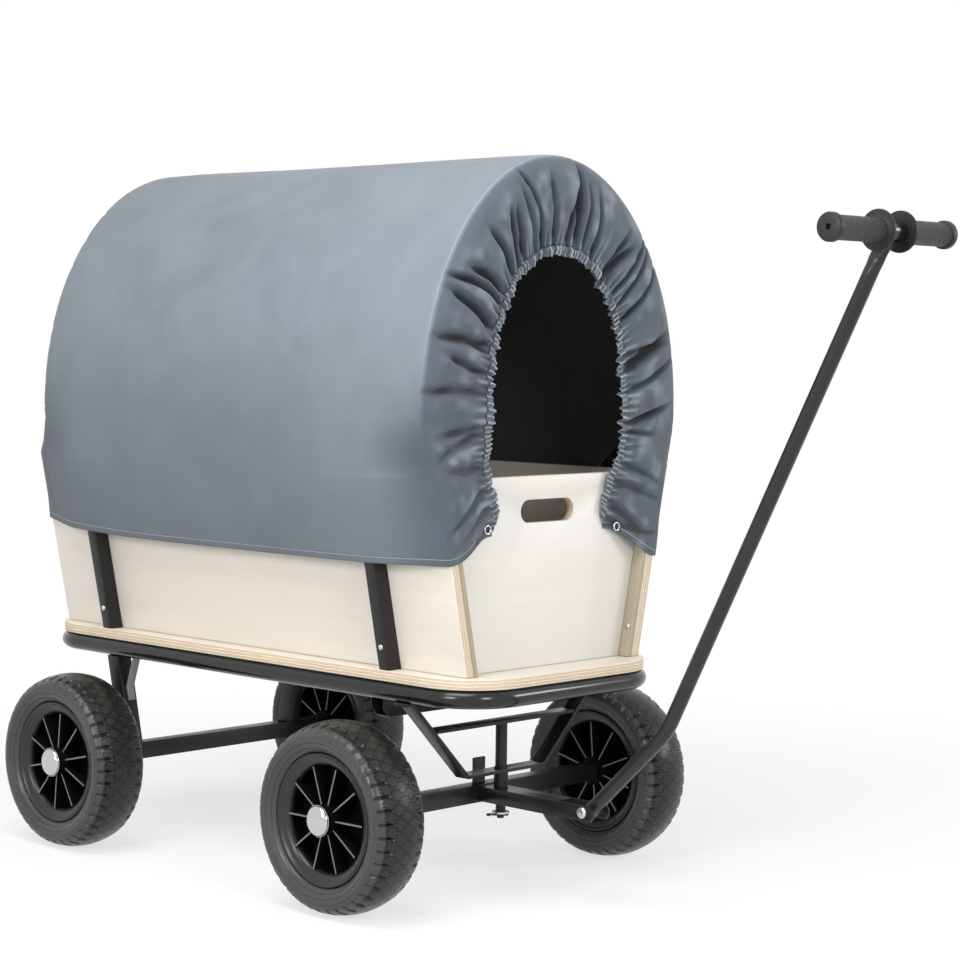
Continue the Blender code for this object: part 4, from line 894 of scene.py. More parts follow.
def cover_shade(row, column):
    """The painted shade that the folds give a point: over 0 in a valley, painted shade; under 0 on a ridge,
    painted highlight.
    """
    end, share = wall_of(column)
    return fold_depth(end, row / ROWS, share)[1] if end else 0.0


def soften_creases(points):
    """Rounds the creases, where the cloth bends over its hoops, by averaging along the rows.

    Between the hoops' foot and the box the cloth hangs free, so it is rounded more there.
    """
    for crease in (WALLS, COLUMNS - WALLS):
        for row in points:
            height = row[crease].z
            free = smoothstep(SHOULDER - 0.005, SHOULDER + 0.02, height) * smoothstep(0.67, 0.62, height)
            if row[crease].y > 0:
                free *= 0.2
            for step in range(3 + round(10 * free)):
                reach = 2 if step < 3 else 5
                near = range(crease - reach, crease + reach + 1)
                moved = {c: (row[c - 1] + row[c] * 2 + row[c + 1]) / 4 for c in near}
                for c, point in moved.items():
                    row[c] = point


def measured_uvs(points):
    """How far each point lies across from the front crease and up from the hem, in metres."""
    half = len(points) // 2
    across = []
    for line in points:
        reach = [0.0]
        for column in range(COLUMNS):
            reach.append(reach[-1] + (line[column + 1] - line[column]).length)
        across.append([value - reach[COLUMNS - WALLS] for value in reach])
    up = [[0.0] * (COLUMNS + 1) for line in points]
    for rows, step in ((range(1, half + 1), -1), (range(len(points) - 2, half, -1), 1)):
        for row in rows:
            for column in range(COLUMNS + 1):
                run = points[row][column] - points[row + step][column]
                up[row][column] = up[row + step][column] + run.length
    return [list(zip(*lines)) for lines in zip(across, up)]


def grid_from(name, points, uvs=None, shades=None):
    """A grid primitive with its points moved to the given rows of points.

    Shades, one for each point, are kept as an attribute that the cloth's colour reads: painted shade in the
    fold valleys and painted highlight on the ridges.
    """
    clear_selection()
    rows, columns = len(points) - 1, len(points[0]) - 1
    bpy.ops.mesh.primitive_grid_add(
        x_subdivisions=columns, y_subdivisions=rows, size=1.0, location=(0, 0, 0)
    )
    obj = bpy.context.object
    obj.name = name
    mesh = obj.data
    spots = []
    for vertex in mesh.vertices:
        row, column = round((vertex.co.y + 0.5) * rows), round((vertex.co.x + 0.5) * columns)
        spots.append((row, column))
        vertex.co = points[row][column] + Vector((MIDDLE, 0.0, 0.0))
    if shades:
        attribute = mesh.attributes.new("fold", "FLOAT", "POINT")
        attribute.data.foreach_set("value", [shades[row][column] for row, column in spots])
    if uvs:
        layer = mesh.uv_layers.active.data
        for loop in mesh.loops:
            row, column = spots[loop.vertex_index]
            layer[loop.index].uv = uvs[row][column]
    mesh.update()
    return obj


cover_points = [[cover_point(r, c) for c in range(COLUMNS + 1)] for r in range(ROWS + 1)]
cover_shades = [[cover_shade(r, c) for c in range(COLUMNS + 1)] for r in range(ROWS + 1)]
soften_creases(cover_points)
cover = grid_from("canopy_cover", cover_points, measured_uvs(cover_points), cover_shades)
print("cover points:", len(cover.data.vertices), "of", (ROWS + 1) * (COLUMNS + 1))

# %% [markdown]
# ### The cloth
#
# The cover is sewn from a slate weave with a black lining. Its threads are far too fine to
# model, so waves of bumps stand for them. The hem, its stitches, the piping and the seams have
# set places, which the UV map gives in metres, so they are drawn from it, and so are painted
# shade on the end walls, towards the hem and towards the rear, and a painted highlight near the
# front crease. The depth of the folds is kept at each point, and it paints shade into the
# valleys and a highlight onto the ridges.

# %% Canopy: cloth, seams and piping
THREADS = 1500.0
STITCHES = 220.0


def make_cloth_group():
    """A plain weave of fine threads along each axis, with soft clouds where the cloth is worn."""
    group, given, result = new_group(
        "woven_cloth",
        {"Place": "Vector", "Dark": "Color", "Light": "Color"},
        {"Colour": "Color", "Normal": "Vector"},
    )
    weave = 0.0
    for axis in ("X", "Y", "Z"):
        wave = add_node(group, "ShaderNodeTexWave", bands_direction=axis, wave_profile="SIN")
        fill(group, wave, Vector=given["Place"], Scale=THREADS, Distortion=0.8, Detail=1.0)
        weave = maths(group, "ADD", weave, wave.outputs["Fac"])
    worn = ramped(group, clouds(group, given["Place"], 7.0, 5.0, 0.58, 0.4), 0.34, 0.66, kind="LINEAR")
    slubs = clouds(group, given["Place"], 420.0, 2.0)
    share = maths(group, "MULTIPLY_ADD", slubs, 0.30, times(group, worn, 0.80))
    normal = bumped(group, maths(group, "MULTIPLY_ADD", slubs, 1.5, weave), 0.0003, 0.25)
    fill(group, result, Colour=blended(group, share, given["Dark"], given["Light"]), Normal=normal)
    return group


CLOTH = make_cloth_group()


def band_mask(tree, value, low, high):
    """1 where value lies between low and high."""
    return times(tree, maths(tree, "GREATER_THAN", value, low), maths(tree, "LESS_THAN", value, high))


def add_sewing_and_shade(tree, colour, across, up):
    """Lays what the cover has at set places over its colour, from painted shade on the walls to stitches.
    Painted shade also darkens it towards the hem and towards the rear, and a painted highlight lightens it
    near the front crease.
    """
    # Where the end walls get painted shade: a sharp edge at the creases high up, and a soft one low down
    # that spreads onto the sides.
    ends = ramped(tree, across, -0.001, 0.008), ramped(tree, across, -0.825, -0.834)
    crisp_wall_shade = maths(tree, "MAXIMUM", *ends)
    ends = ramped(tree, across, -0.120, 0.0), ramped(tree, across, -0.750, -0.840)
    loose_wall_shade = maths(tree, "MAXIMUM", *ends)
    wall = blended(tree, ramped(tree, up, 0.30, 0.14), crisp_wall_shade, loose_wall_shade, "FLOAT")
    dash = maths(tree, "GREATER_THAN", maths(tree, "FRACT", times(tree, across, STITCHES)), 0.34)
    stitch = times(tree, band_mask(tree, up, 0.0082, 0.0093), dash)
    piping = times(tree, band_mask(tree, across, -0.0012, 0.0008), ramped(tree, up, 0.22, 0.42, 0.0, 0.40))
    seam = times(tree, band_mask(tree, across, -0.0152, -0.0140), maths(tree, "LESS_THAN", up, 0.062))
    layers = [
        # Painted shade, darker towards the hem.
        (ramped(tree, up, 0.42, 0.02, 0.0, 0.48), (0.050, 0.066, 0.088)),
        # Painted shade, darker towards the rear crease.
        (ramped(tree, across, -0.45, -0.85, 0.0, 0.18), (0.060, 0.076, 0.098)),
        # Painted light, paler towards the front crease.
        (ramped(tree, across, -0.40, -0.03, 0.0, 0.12), (0.46, 0.54, 0.60)),
        # Painted shade on the end walls, which are the same cloth as the sides.
        (times(tree, wall, 0.78), (0.044, 0.060, 0.082)),
        (times(tree, maths(tree, "LESS_THAN", up, 0.0120), 0.20), (0.06, 0.075, 0.095)),
        (times(tree, stitch, 0.75), (0.52, 0.55, 0.58)),
        (piping, (0.42, 0.47, 0.51)),
        (times(tree, seam, 0.6), (0.08, 0.09, 0.10)),
    ]
    for mask, tint in layers:
        colour = blended(tree, mask, colour, tint)
    return colour


def cloth_finish(name, dark, light, sewn_and_shaded=False, ridge=0.42):
    """Cloth with painted shade in its folds and painted highlight on its ridges. Ridge says how strong that
    painted highlight is, and sewn adds the cover's sewing with its painted shade and light.
    """
    material, tree, shader, texture = new_finish(name)
    node = add_node(tree, "ShaderNodeGroup", node_tree=CLOTH, Place=texture["Object"])
    cloth = fill(tree, node, Dark=dark, Light=light).outputs
    colour = cloth["Colour"]
    if sewn_and_shaded:
        spot = split(tree, texture["UV"])
        colour = add_sewing_and_shade(tree, colour, spot["X"], spot["Y"])
    fold = add_node(tree, "ShaderNodeAttribute", attribute_name="fold").outputs["Fac"]
    # Painted shade in the fold valleys, read from the fold attribute.
    colour = blended(tree, ramped(tree, fold, 0.25, 1.15, 0.0, 0.84), colour, (0.010, 0.013, 0.018))
    # Painted highlight on the fold ridges.
    colour = blended(tree, ramped(tree, fold, 0.10, -0.45, 0.0, ridge), colour, (0.40, 0.46, 0.52))
    fill(tree, shader, Base_Color=colour, Normal=cloth["Normal"], Roughness=0.70)
    fill(tree, shader, Sheen_Weight=0.22, Sheen_Roughness=0.45)
    return material


slate_cloth = cloth_finish("slate_cloth", (0.142, 0.168, 0.198), (0.200, 0.234, 0.270), sewn_and_shaded=True)
# The ruffle's cloth is the slate cloth coloured darker as painted shade, with a stronger painted highlight
# on its ridges.
shaded_ruffle_cloth = cloth_finish("shaded_ruffle_cloth", (0.115, 0.140, 0.168), (0.19, 0.222, 0.258), ridge=0.95)
lining = cloth_finish("black_lining", (0.010, 0.010, 0.011), (0.020, 0.020, 0.022))
print("cloth finishes:", slate_cloth.name, shaded_ruffle_cloth.name, lining.name)

# %% [markdown]
# ### Thickness and lining
#
# Cloth has two sides, and the inner one shows through the openings. A second grid could be
# laid inside the first, but Solidify makes both sides from one grid, so they always agree, and
# it gives the inner side the lining's material.

# %% Canopy: thickness, lining and hang
COVER_THICKNESS = 0.0011


def thicken(obj, thickness, offset, inner_slot=0):
    """Gives a skin of cloth its thickness. Inner slot says which material its inner side has."""
    solidify = obj.modifiers.new("thickness", "SOLIDIFY")
    solidify.thickness = thickness
    solidify.offset = offset
    solidify.material_offset = inner_slot
    apply_all(obj)
    bpy.ops.object.shade_smooth()


def make_cover(obj):
    paint(obj, slate_cloth, lining)
    thicken(obj, COVER_THICKNESS, -1.0, inner_slot=1)
    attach(obj, "frame")
    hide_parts("canopy")
    return obj


cloth_area = sum(face.area for face in cover.data.polygons)
make_cover(cover)
print("cover faces:", len(cover.data.polygons), "cloth area", round(cloth_area, 3))

# %% [markdown]
# ### Ruffles
#
# Outside each opening's elastic stands a short free edge of cloth. It is a narrow strip that
# waves in and out with the pleats, so it gets a mesh of its own with many short columns.


# %% Canopy: ruffles
RUFFLE_WAVES = 146
RUFFLE_PLACES = 1300
RUFFLE_STEPS = 6
RUFFLE_THICKNESS = 0.0007


def ruffle_wave(place, share):
    """The pleats of an opening's free edge, from -1 to 1."""
    turn = math.tau * RUFFLE_WAVES * place
    return math.sin(turn + 2.6 * math.sin(place * 47.0) + 1.2 * share * math.sin(place * 91.0))


def ruffle_point(end, place, share):
    """A point of the free edge round an opening. Share runs from the elastic outwards."""
    base = wall_point(end, place, 1.0)
    level = round_place(place)[0]
    middle = Vector((base.x, 0.0, mix(SPRING - 0.02, SPRING + 0.05, level)))
    inward = (middle - base).normalized()
    chance = noise.noise(Vector((place * 24.0, FACING[end] * 3.0, 2.0)))
    chance += 0.7 * noise.noise(Vector((place * 120.0, FACING[end] * 7.0, 5.0)))
    length = 0.0125 + 0.0040 * chance
    pinch = math.sin(math.pi * min(1.0, share * 1.4))
    out = 0.0012 + 0.0026 * pinch + 0.0018 * ruffle_wave(place, share) * (0.45 + 0.55 * share)
    foot = smoothstep(0.0, 0.03, level)
    return base + inward * length * share * foot + Vector((FACING[end] * out * foot, 0.0, 0.0))


def ruffle_shade(place, share):
    """Painted shade between the pleats, and painted highlight along each pleat's ridge and at the free
    edge.
    """
    ridge = max(0.0, ruffle_wave(place, share)) ** 4
    return 0.62 - 1.25 * ridge - 0.40 * smoothstep(0.70, 1.0, share)


def make_ruffle(end):
    places = [0.006 + 0.988 * r / RUFFLE_PLACES for r in range(RUFFLE_PLACES + 1)]
    shares = [c / RUFFLE_STEPS for c in range(RUFFLE_STEPS + 1)]
    rows = [[ruffle_point(end, place, share) for share in shares] for place in places]
    shades = [[ruffle_shade(place, share) for share in shares] for place in places]
    obj = grid_from(f"{end}_ruffle", rows, shades=shades)
    paint(obj, shaded_ruffle_cloth)
    print(end, "ruffle area", round(sum(face.area for face in obj.data.polygons), 4))
    thicken(obj, RUFFLE_THICKNESS, 0.0)
    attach(obj, "frame")
    return obj


ruffles = [make_ruffle(end) for end in ("front", "rear")]
print("ruffle faces:", [len(obj.data.polygons) for obj in ruffles])

# %% [markdown]
# ## Wheels
#
# A pneumatic tyre is close to a torus, so it starts as one. Each of its points is moved onto the
# tyre's real section, and the cuts between the tread's shoulder lugs are sunk on the way. The
# torus keeps its own UV map, which runs round the wheel and across the tread, and the finer
# grooves of the tread and the rings of the sidewall are drawn from it.

# %% Tyre: section, lugs and rubber
WHEELS = {"front_right": 1.0, "rear_right": 13.0, "front_left": 22.5, "rear_left": 8.0}
LUGS = 42
AROUND = 672
ACROSS = 64
RING = 0.11
BEAD = 0.06
SECTION = [
    (0.0897, 0.0305), (0.0918, 0.0352), (0.0962, 0.0391), (0.1020, 0.0418), (0.1080, 0.0432),
    (0.1135, 0.0428), (0.1180, 0.0408), (0.1212, 0.0376), (0.1240, 0.0322), (0.1264, 0.0250),
    (0.1284, 0.0165), (0.1296, 0.0080), (0.1300, 0.0),
]


def side_of(name):
    """The sign of Y on the side that a piece belongs to."""
    return -1 if name.endswith("right") else 1


def wheel_middle(corner):
    low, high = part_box(f"{corner}_tyre")
    return (low + high) / 2


def section_at(share):
    """A point of the tyre's section. Share runs from the outer bead over the tread to the inner one."""
    last = len(SECTION) - 1
    spot = 2 * min(share, 1 - share) * last
    index = min(int(spot), last - 1)
    part = spot - index
    before, after = SECTION[max(index - 1, 0)], SECTION[min(index + 2, last)]
    values = []
    for axis in (0, 1):
        p0, p1, p2, p3 = before[axis], SECTION[index][axis], SECTION[index + 1][axis], after[axis]
        if index == last - 1 and axis == 1:
            p3 = -p1
        curve = 2 * p1 + (p2 - p0) * part + (2 * p0 - 5 * p1 + 4 * p2 - p3) * part**2
        values.append((curve + (3 * p1 - p0 - 3 * p2 + p3) * part**3) / 2)
    radius, height = values
    return radius, -height if share > 0.5 else height


def lug_cut(turn, share):
    """How deep the cut between two shoulder lugs is at this place round and across the tyre."""
    depth = 0.0
    for centre, offset in ((0.310, 0.0), (0.690, 0.5)):
        across = 1 - smoothstep(0.060, 0.078, abs(share - centre))
        spot = abs((turn * LUGS + offset) % 1.0 - 0.5)
        depth += 0.0034 * across * (1 - smoothstep(0.06, 0.12, spot))
    return depth


def make_tyre(corner):
    centre = wheel_middle(corner)
    clear_selection()
    bpy.ops.mesh.primitive_torus_add(
        major_segments=AROUND, minor_segments=ACROSS, major_radius=RING, minor_radius=0.02,
        location=(0, 0, 0),
    )
    obj = bpy.context.object
    obj.name = f"{corner}_tyre_shown"
    for vertex in obj.data.vertices:
        turn = math.atan2(vertex.co.y, vertex.co.x) / math.tau
        reach = math.hypot(vertex.co.x, vertex.co.y) - RING
        share = (0.5 - math.atan2(vertex.co.z, reach) / math.tau) % 1.0
        open_share = min(1.0, max(0.0, (share - BEAD) / (1 - 2 * BEAD)))
        radius, height = section_at(open_share)
        inside = max(0.0, BEAD - share, share - (1 - BEAD)) / BEAD
        cut = lug_cut(turn, open_share)
        radius -= 0.0003 * inside + 0.75 * cut
        height *= 1 - 0.6 * inside
        height -= math.copysign(0.66 * cut, height)
        angle = turn * math.tau + math.radians(WHEELS[corner])
        place = Vector((radius * math.cos(angle), side_of(corner) * height, radius * math.sin(angle)))
        vertex.co = place + centre
    edit_all(obj)
    bpy.ops.mesh.normals_make_consistent(inside=False)
    close_edit()
    smooth_by_angle(obj, 30.0)
    return finish(obj, rubber, body_of(f"{corner}_tyre"), [f"{corner}_tyre"])


def make_rubber():
    """Grey-black rubber with zigzag tread grooves and faint sidewall rings. The grooves are coloured darker
    as painted shade, and the sidewall paler as painted reflection.
    """
    material, tree, shader, texture = new_finish("tyre_rubber")
    speckle = speckled(tree, texture["Object"], (0.22, 0.36), 1600.0, 0.2)
    spot = split(tree, texture["UV"])
    blocks = times(tree, spot["X"], float(LUGS))
    lanes = times(tree, spot["Y"], 9.0)
    rising = maths(tree, "ADD", blocks, lanes)
    falling = maths(tree, "SUBTRACT", blocks, lanes)
    zigzags = []
    for line, other in ((rising, falling), (falling, rising)):
        teeth = maths(tree, "PINGPONG", times(tree, other, 2.0), 0.5)
        zigzags.append(maths(tree, "PINGPONG", maths(tree, "MULTIPLY_ADD", teeth, 0.42, line), 0.5))
    block = ramped(tree, maths(tree, "MINIMUM", *zigzags), 0.045, 0.095)
    from_crown = maths(tree, "ABSOLUTE", maths(tree, "SUBTRACT", spot["Y"], 0.5))
    wall = ramped(tree, from_crown, 0.150, 0.165)
    raised = maths(tree, "MAXIMUM", block, wall)
    tread = blended(tree, speckle["Patches"], grey(0.010), (0.024, 0.024, 0.023))
    # Paler sidewall colour: painted reflection.
    side = blended(tree, speckle["Patches"], grey(0.036), (0.078, 0.077, 0.076))
    # Grooves near-black: painted shade in the recesses.
    colour = blended(tree, raised, grey(0.002), blended(tree, wall, tread, side))
    ring = ramped(tree, maths(tree, "PINGPONG", times(tree, from_crown, 22.0), 0.5), 0.0, 0.10)
    far = maths(tree, "GREATER_THAN", from_crown, 0.23)
    lines = times(tree, maths(tree, "SUBTRACT", 1.0, ring), far)
    height = maths(tree, "MULTIPLY_ADD", lines, 0.25, raised)
    normal = bumped(tree, height, 0.0030, Normal=speckle["Normal"])
    fill(tree, shader, Base_Color=colour, Roughness=speckle["Roughness"], Normal=normal)
    fill(tree, shader, Specular_IOR_Level=0.36)
    return material


rubber = make_rubber()
tyres = [make_tyre(corner) for corner in WHEELS]
print("tyre faces:", [len(obj.data.polygons) for obj in tyres])

# %% [markdown]
# ### Rims and caps
#
# The rim is turned: its outline is spun round the axle. Ten flat ribs tie the hub to the bowl,
# and their front edges get a painted highlight, while the web, hub and inner bowl get painted
# shade. A chrome cap is pushed on each axle's end.

# %% Rims, ribs and caps
RIM_OUTLINE = [
    (0.0108, 0.0400), (0.0205, 0.0400), (0.0205, 0.0030), (0.0720, 0.0030), (0.0720, 0.0215),
    (0.0729, 0.0252), (0.0752, 0.0284), (0.0790, 0.0306), (0.0826, 0.0317), (0.0848, 0.0326),
    (0.0860, 0.0340), (0.0868, 0.0345), (0.0886, 0.0345), (0.0893, 0.0338), (0.0893, 0.0290),
]
RIBS = 10
RIB_FACE = 0.029
RIB_THICKNESS = 0.0022
HUB = 0.0195
BOWL = 0.0722


def rib(corner, centre, index):
    """A flat rib from the hub to the bowl."""
    clear_selection()
    angle = math.radians(WHEELS[corner] + 360 * index / RIBS)
    radius = (HUB + BOWL) / 2
    place = centre + Vector((radius * math.cos(angle), 0.0, radius * math.sin(angle)))
    bpy.ops.mesh.primitive_cube_add(size=1.0, location=place, rotation=(0.0, -angle, 0.0))
    obj = bpy.context.object
    obj.scale = (BOWL - HUB, 2 * RIB_FACE, RIB_THICKNESS)
    settle(obj)
    return obj


def make_rim(corner):
    centre = wheel_middle(corner)
    inner = [(radius, -height) for radius, height in reversed(RIM_OUTLINE[2:])]
    outline = RIM_OUTLINE + inner + [(0.0205, -0.0330), (0.0108, -0.0330)]
    obj = turned(f"{corner}_rim_shown", outline, 120, centre, (0, side_of(corner), 0))
    ribs = [rib(corner, centre, index) for index in range(RIBS)]
    clear_selection()
    for piece in [*ribs, obj]:
        piece.select_set(True)
    bpy.context.view_layer.objects.active = obj
    bpy.ops.object.join()
    smooth_by_angle(obj, 32.0)
    finish(obj, rim_plastic, body_of(f"{corner}_rim"), [f"{corner}_rim"])
    obj.data.materials.append(shaded_web_plastic)
    obj.data.materials.append(rib_edge_highlight)
    for face in obj.data.polygons:
        reach = math.hypot(face.center.x - centre.x, face.center.z - centre.z)
        along = abs(face.center.y - centre.y)
        # The ribs' front faces get the painted highlight, and the faces inside the bowl the painted shade.
        if abs(along - RIB_FACE) < 0.0003 and reach < 0.071 and abs(face.normal.y) > 0.9:
            face.material_index = 2
        elif reach < 0.0724:
            face.material_index = 1
    return obj


def dome(radius, foot, height, steps):
    """The outline of a dome from its top, height above foot, down to its edge."""
    angles = [math.radians(90 * step / steps) for step in range(1, steps + 1)]
    return [(0.0, foot + height)] + [(radius * math.sin(a), foot + height * math.cos(a)) for a in angles]


def make_cap(corner):
    outline = dome(0.0207, 0.0417, 0.0078, 14)
    outline += [(0.0213, 0.0414), (0.0215, 0.0410), (0.0215, 0.0405), (0.0213, 0.0403), (0.0070, 0.0403)]
    outline += [(0.0070, 0.0438), (0.0, 0.0438)]
    obj = turned(f"{corner}_cap_shown", outline, 96, wheel_middle(corner), (0, side_of(corner), 0))
    smooth_by_angle(obj, 40.0)
    return finish(obj, bright_chrome, body_of(f"{corner}_cap"), [f"{corner}_cap"])


# Pale grey for the ribs' front faces: painted highlight.
rib_edge_highlight = speckled_finish("rib_edge_highlight", grey(0.13), grey(0.22), (0.30, 0.42), 1500, 0.10)
rims = [make_rim(corner) for corner in WHEELS]
print("rim faces:", [len(obj.data.polygons) for obj in rims])
print("cap faces:", [len(make_cap(corner).data.polygons) for corner in WHEELS])

# %% [markdown]
# ## The handle
#
# One tube is bent once and pressed flat at its top, where it is welded to the collar of the
# crossbar. A line of points is given thickness, and then the points near the top are squeezed.

# %% Handle tube
def at(x, y, z):
    """A point given from the middle of the wheelbase, in the frame's own coordinates."""
    return Vector((x + MIDDLE, y, z))


BOLT_X = 0.5075
BOLT = at(BOLT_X, 0.0, 0.132)
TUBE_TOP = at(0.978, 0.0, 0.909)
HANDLE_SLOPE = math.radians(43.0)
HANDLE_BEND_X = 0.6394
HANDLE_BEND = 0.12
HANDLE_TUBE = 0.0098
CRIMP = 0.050


def rounded_corner(start, corner, end, radius, steps):
    """The points of an arc that rounds a corner between two straight runs."""
    back = (start - corner).normalized()
    on = (end - corner).normalized()
    half = back.angle(on) / 2
    reach = radius / math.tan(half)
    centre = corner + (back + on).normalized() * (radius / math.sin(half))
    spoke = corner + back * reach - centre
    axis = back.cross(on).normalized()
    sweep = math.pi - 2 * half
    if (centre + Matrix.Rotation(sweep, 3, axis) @ spoke - (corner + on * reach)).length > 0.001:
        sweep = -sweep
    return [centre + Matrix.Rotation(sweep * step / steps, 3, axis) @ spoke for step in range(steps + 1)]


def handle_points():
    lower = Vector((math.cos(HANDLE_SLOPE), 0.0, math.sin(HANDLE_SLOPE)))
    corner = BOLT + lower * ((HANDLE_BEND_X - BOLT_X) / lower.x)
    upper = (TUBE_TOP - corner).normalized()
    start = BOLT - lower * 0.012
    end = TUBE_TOP - upper * 0.0133
    points = [start] + rounded_corner(start, corner, end, HANDLE_BEND, 20)
    points += [end - upper * (CRIMP * (1 - k / 14)) for k in range(15)]
    return points, end, upper


def round_bar(name, points, radius, sides):
    """A round bar along points."""
    obj = ring_of_points(name, points)
    edit_all(obj)
    bpy.ops.mesh.select_all(action="DESELECT")
    close_edit()
    for edge in obj.data.edges:
        edge.select = set(edge.vertices) == {len(points) - 1, 0}
    bpy.ops.object.mode_set(mode="EDIT")
    bpy.ops.mesh.select_mode(type="EDGE")
    bpy.ops.mesh.delete(type="EDGE_FACE")
    close_edit()
    take(obj)
    bpy.ops.object.convert(target="CURVE")
    obj.data.bevel_depth = radius
    obj.data.bevel_resolution = sides
    obj.data.use_fill_caps = True
    bpy.ops.object.convert(target="MESH")
    edit_all(obj)
    bpy.ops.mesh.remove_doubles(threshold=SAME_POINT)
    bpy.ops.mesh.normals_make_consistent(inside=False)
    close_edit()
    smooth_by_angle(obj, 50.0)
    return obj


def make_handle_tube():
    points, end, upper = handle_points()
    obj = round_bar("handle_tube_shown", points, HANDLE_TUBE, 12)
    for vertex in obj.data.vertices:
        away = (end - vertex.co).dot(upper)
        if away > CRIMP or vertex.co.z < BOLT.z + 0.4:
            continue
        grown = smoothstep(0.0, 1.0, min(1.0, max(0.0, away / CRIMP)))
        line = end - upper * away
        offset = vertex.co - line
        crease = 0.0012 * math.sin(math.tau * away / 0.021) * (1 - grown) * math.copysign(1, offset.y)
        offset.y = offset.y * mix(0.30, 1.0, grown) + crease * min(1.0, abs(offset.y) / 0.003)
        offset.x *= mix(1.25, 1.0, grown)
        offset.z *= mix(1.25, 1.0, grown)
        vertex.co = line + offset
    smooth_by_angle(obj, 40.0)
    return finish(obj, handle_paint, "handle", ["handle_tube"])


handle_paint = speckled_finish(
    "handle_paint", grey(0.014), (0.026, 0.025, 0.025), (0.26, 0.34), 1200, 0.03, shine=0.40
)
print("handle tube faces:", len(make_handle_tube().data.polygons))

# %% [markdown]
# ### Crossbar and grips
#
# Both are turned. The grips' diamond knurl is a bump that is worked out from the angle round
# the bar and the distance along it, and its peaks get a painted highlight.

# %% Crossbar and grips
KNURL_ROUND = 9 / math.pi
KNURL_ALONG = 180.0
BARREL_MIDDLE = 0.0705
BARREL_HALF = 0.0440
HOLE_AT = 0.123
HOLE_SIZE = 0.0070
GRIP_OUTLINE = [
    (0.0083, 0.0218), (0.0254, 0.0218), (0.0260, 0.0224), (0.0260, 0.0240), (0.0254, 0.0246),
    (0.0166, 0.0246), (0.01565, 0.0250), (0.01525, 0.0262), (0.01525, 0.1148), (0.0156, 0.1160),
    (0.0172, 0.1164), (0.0180, 0.1172), (0.0180, 0.1228), (0.0174, 0.1242), (0.0160, 0.1250),
    (0.0, 0.1250), (0.0, 0.1210), (0.0083, 0.1210),
]


def make_knurl():
    material, tree, shader, texture = new_finish("grip_rubber")
    speckle = speckled(tree, texture["Object"], (0.40, 0.52), 1500.0, 0.10)
    axes = split(tree, texture["Object"])
    out = maths(tree, "SUBTRACT", axes["X"], TUBE_TOP.x)
    up = maths(tree, "SUBTRACT", axes["Z"], TUBE_TOP.z)
    turn = times(tree, maths(tree, "ARCTAN2", up, out), KNURL_ROUND)
    along = times(tree, axes["Y"], KNURL_ALONG)
    rising = maths(tree, "PINGPONG", maths(tree, "ADD", turn, along), 0.5)
    falling = maths(tree, "PINGPONG", maths(tree, "SUBTRACT", turn, along), 0.5)
    from_middle = maths(tree, "SUBTRACT", maths(tree, "ABSOLUTE", axes["Y"]), BARREL_MIDDLE)
    barrel = maths(tree, "LESS_THAN", maths(tree, "ABSOLUTE", from_middle), BARREL_HALF)
    height = times(tree, maths(tree, "MINIMUM", rising, falling), barrel)
    colour = blended(tree, speckle["Patches"], (0.014, 0.014, 0.015), (0.026, 0.025, 0.026))
    # Paler knurl peaks: painted highlight.
    colour = blended(tree, ramped(tree, height, 0.10, 0.24), colour, (0.060, 0.060, 0.062))
    normal = bumped(tree, height, 0.0022, Normal=speckle["Normal"])
    fill(tree, shader, Base_Color=colour, Roughness=speckle["Roughness"], Normal=normal)
    fill(tree, shader, Specular_IOR_Level=0.35)
    return material


def make_crossbar():
    half = [(0.0, 0.1207), (0.0072, 0.1207), (0.0080, 0.1199), (0.0080, 0.0215)]
    half += [(0.0124, 0.0215), (0.0130, 0.0209)]
    outline = half + [(radius, -height) for radius, height in reversed(half)]
    obj = turned("handle_crossbar_shown", outline, 64, TUBE_TOP, (0, 1, 0))
    return finish(obj, black_paint, "handle", ["handle_crossbar"])


def make_grip(side):
    sign = side_of(side)
    obj = turned(f"{side}_grip_shown", GRIP_OUTLINE, 72, TUBE_TOP, (0, sign, 0))
    clear_selection()
    hole_at = TUBE_TOP + Vector((0.0, sign * HOLE_AT, 0.0))
    bpy.ops.mesh.primitive_cube_add(size=HOLE_SIZE, location=hole_at, rotation=(0, math.radians(12), 0))
    cut_away(obj, bpy.context.object)
    smooth_by_angle(obj, 35.0)
    return finish(obj, grip_rubber, "handle", [f"{side}_grip"])


grip_rubber = make_knurl()
make_crossbar()
grips = [make_grip(side) for side in ("right", "left")]
print("grip faces:", [len(obj.data.polygons) for obj in grips])

# %% [markdown]
# ## Small fastenings
#
# Chrome rings hold the canopy's elastic, a zinc screw holds each upright and two slotted
# screws hold each batten. They are too small for the measured solids, apart from the rings.


# %% Grommets and screws
GROMMETS = {"right": (0.1224, 0.5158), "left": (0.1347, 0.5088)}
GROMMET_RADIUS = 0.0055
GROMMET_WIRE = 0.0015
STUD_RADIUS = 0.0036
UPRIGHT_SCREW = 0.353
BATTEN_SCREWS = (0.365, 0.515)
UPRIGHT_HEAD = 0.0042
BATTEN_HEAD = 0.0045
SEAT = 0.0003
UPRIGHT_DEPTH = 0.024
PANEL_ACROSS = 0.0153
BATTEN = 0.0082
SCREW_DOME = 0.42
SCREW_FOOT = -0.0004
SLOT_WIDTH = 0.28
SLOT_DEPTH = 1.1


def wall_near(end, sign, y, z):
    """The point of an end wall nearest to a height and a distance sideways."""
    best = None
    for row in range(ROWS + 1):
        if (row / ROWS < 0.5) != (sign < 0):
            continue
        for share_step in range(20, 41):
            point = wall_point(end, row / ROWS, share_step / 40)
            gap = (point.y - sign * y) ** 2 + (point.z - z) ** 2
            if best is None or gap < best[0]:
                best = (gap, point)
    return best[1] + Vector((MIDDLE, 0.0, 0.0))


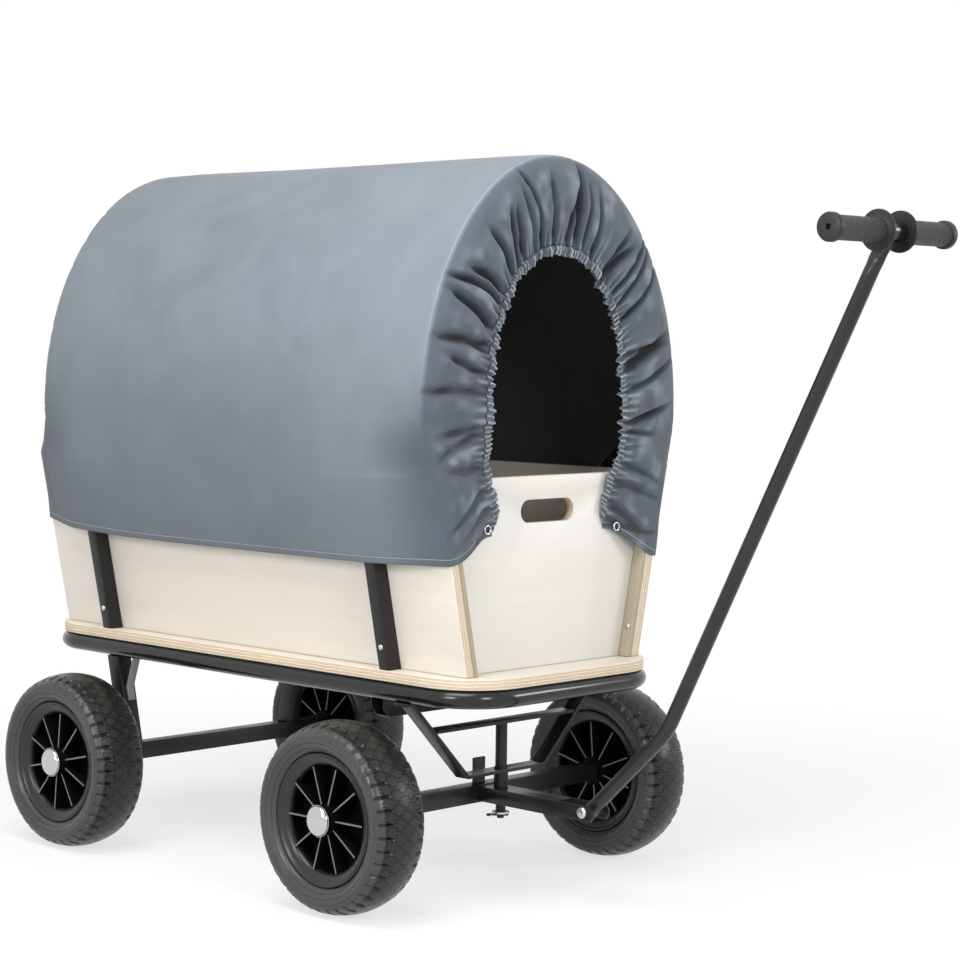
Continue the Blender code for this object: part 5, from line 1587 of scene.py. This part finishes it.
def make_grommet(end, side):
    place = wall_near(end, side_of(side), *GROMMETS[side])
    normal = Vector((FACING[end], 0.0, 0.0))
    turn = Vector((0, 0, 1)).rotation_difference(normal).to_euler()
    clear_selection()
    bpy.ops.mesh.primitive_torus_add(
        major_segments=40, minor_segments=12, major_radius=GROMMET_RADIUS, minor_radius=GROMMET_WIRE,
        location=place + normal * 0.0022, rotation=turn,
    )
    ring = bpy.context.object
    ring.name = f"{end}_{side}_grommet_shown"
    bpy.ops.object.shade_smooth()
    finish(ring, bright_chrome, "frame", [f"{end}_{side}_grommet"])
    clear_selection()
    bpy.ops.mesh.primitive_uv_sphere_add(
        segments=24, ring_count=12, radius=STUD_RADIUS, location=place + normal * 0.0012
    )
    stud = bpy.context.object
    stud.name = f"{end}_{side}_stud"
    bpy.ops.object.shade_smooth()
    return finish(stud, black_paint, "frame")


def make_screw(name, place, normal, radius, slot_angle=None):
    """A domed screw head that lies on a face, with or without a slot."""
    height = radius * SCREW_DOME
    outline = dome(radius, 0.0, height, 8) + [(radius, SCREW_FOOT), (0.0, SCREW_FOOT)]
    obj = turned(name, outline, 32, place, normal)
    if slot_angle is not None:
        clear_selection()
        turn = Vector((0, 0, 1)).rotation_difference(normal).to_matrix()
        turn = turn @ Matrix.Rotation(slot_angle, 3, "Z")
        tip = place + normal * height
        bpy.ops.mesh.primitive_cube_add(size=1.0, location=tip, rotation=turn.to_euler())
        cutter = bpy.context.object
        cutter.scale = (radius * 3, radius * SLOT_WIDTH, height * SLOT_DEPTH)
        cut_away(obj, cutter)
    smooth_by_angle(obj, 40.0)
    return finish(obj, zinc_plate, "frame")


for end in ("front", "rear"):
    for side in ("right", "left"):
        make_grommet(end, side)
screws = []
for c in corners:
    sign = side_of(c)
    lean = Vector((0.0, sign * 1.0, -FLARE)).normalized()
    low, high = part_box(f"{c}_upright")
    outer = box_width(UPRIGHT_SCREW) + SEAT + UPRIGHT_DEPTH * LEAN
    place = Vector(((low.x + high.x) / 2, sign * outer, UPRIGHT_SCREW))
    screws.append(make_screw(f"{c}_upright_screw", place, lean, UPRIGHT_HEAD))
    low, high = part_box(f"{c}_batten")
    for number, height in enumerate(BATTEN_SCREWS):
        inner = box_width(height) - PANEL_ACROSS - SEAT - BATTEN
        place = Vector(((low.x + high.x) / 2, sign * inner, height))
        name = f"{c}_batten_screw_{number}"
        screws.append(make_screw(name, place, -lean, BATTEN_HEAD, 0.5 + number))
print("screws:", len(screws))
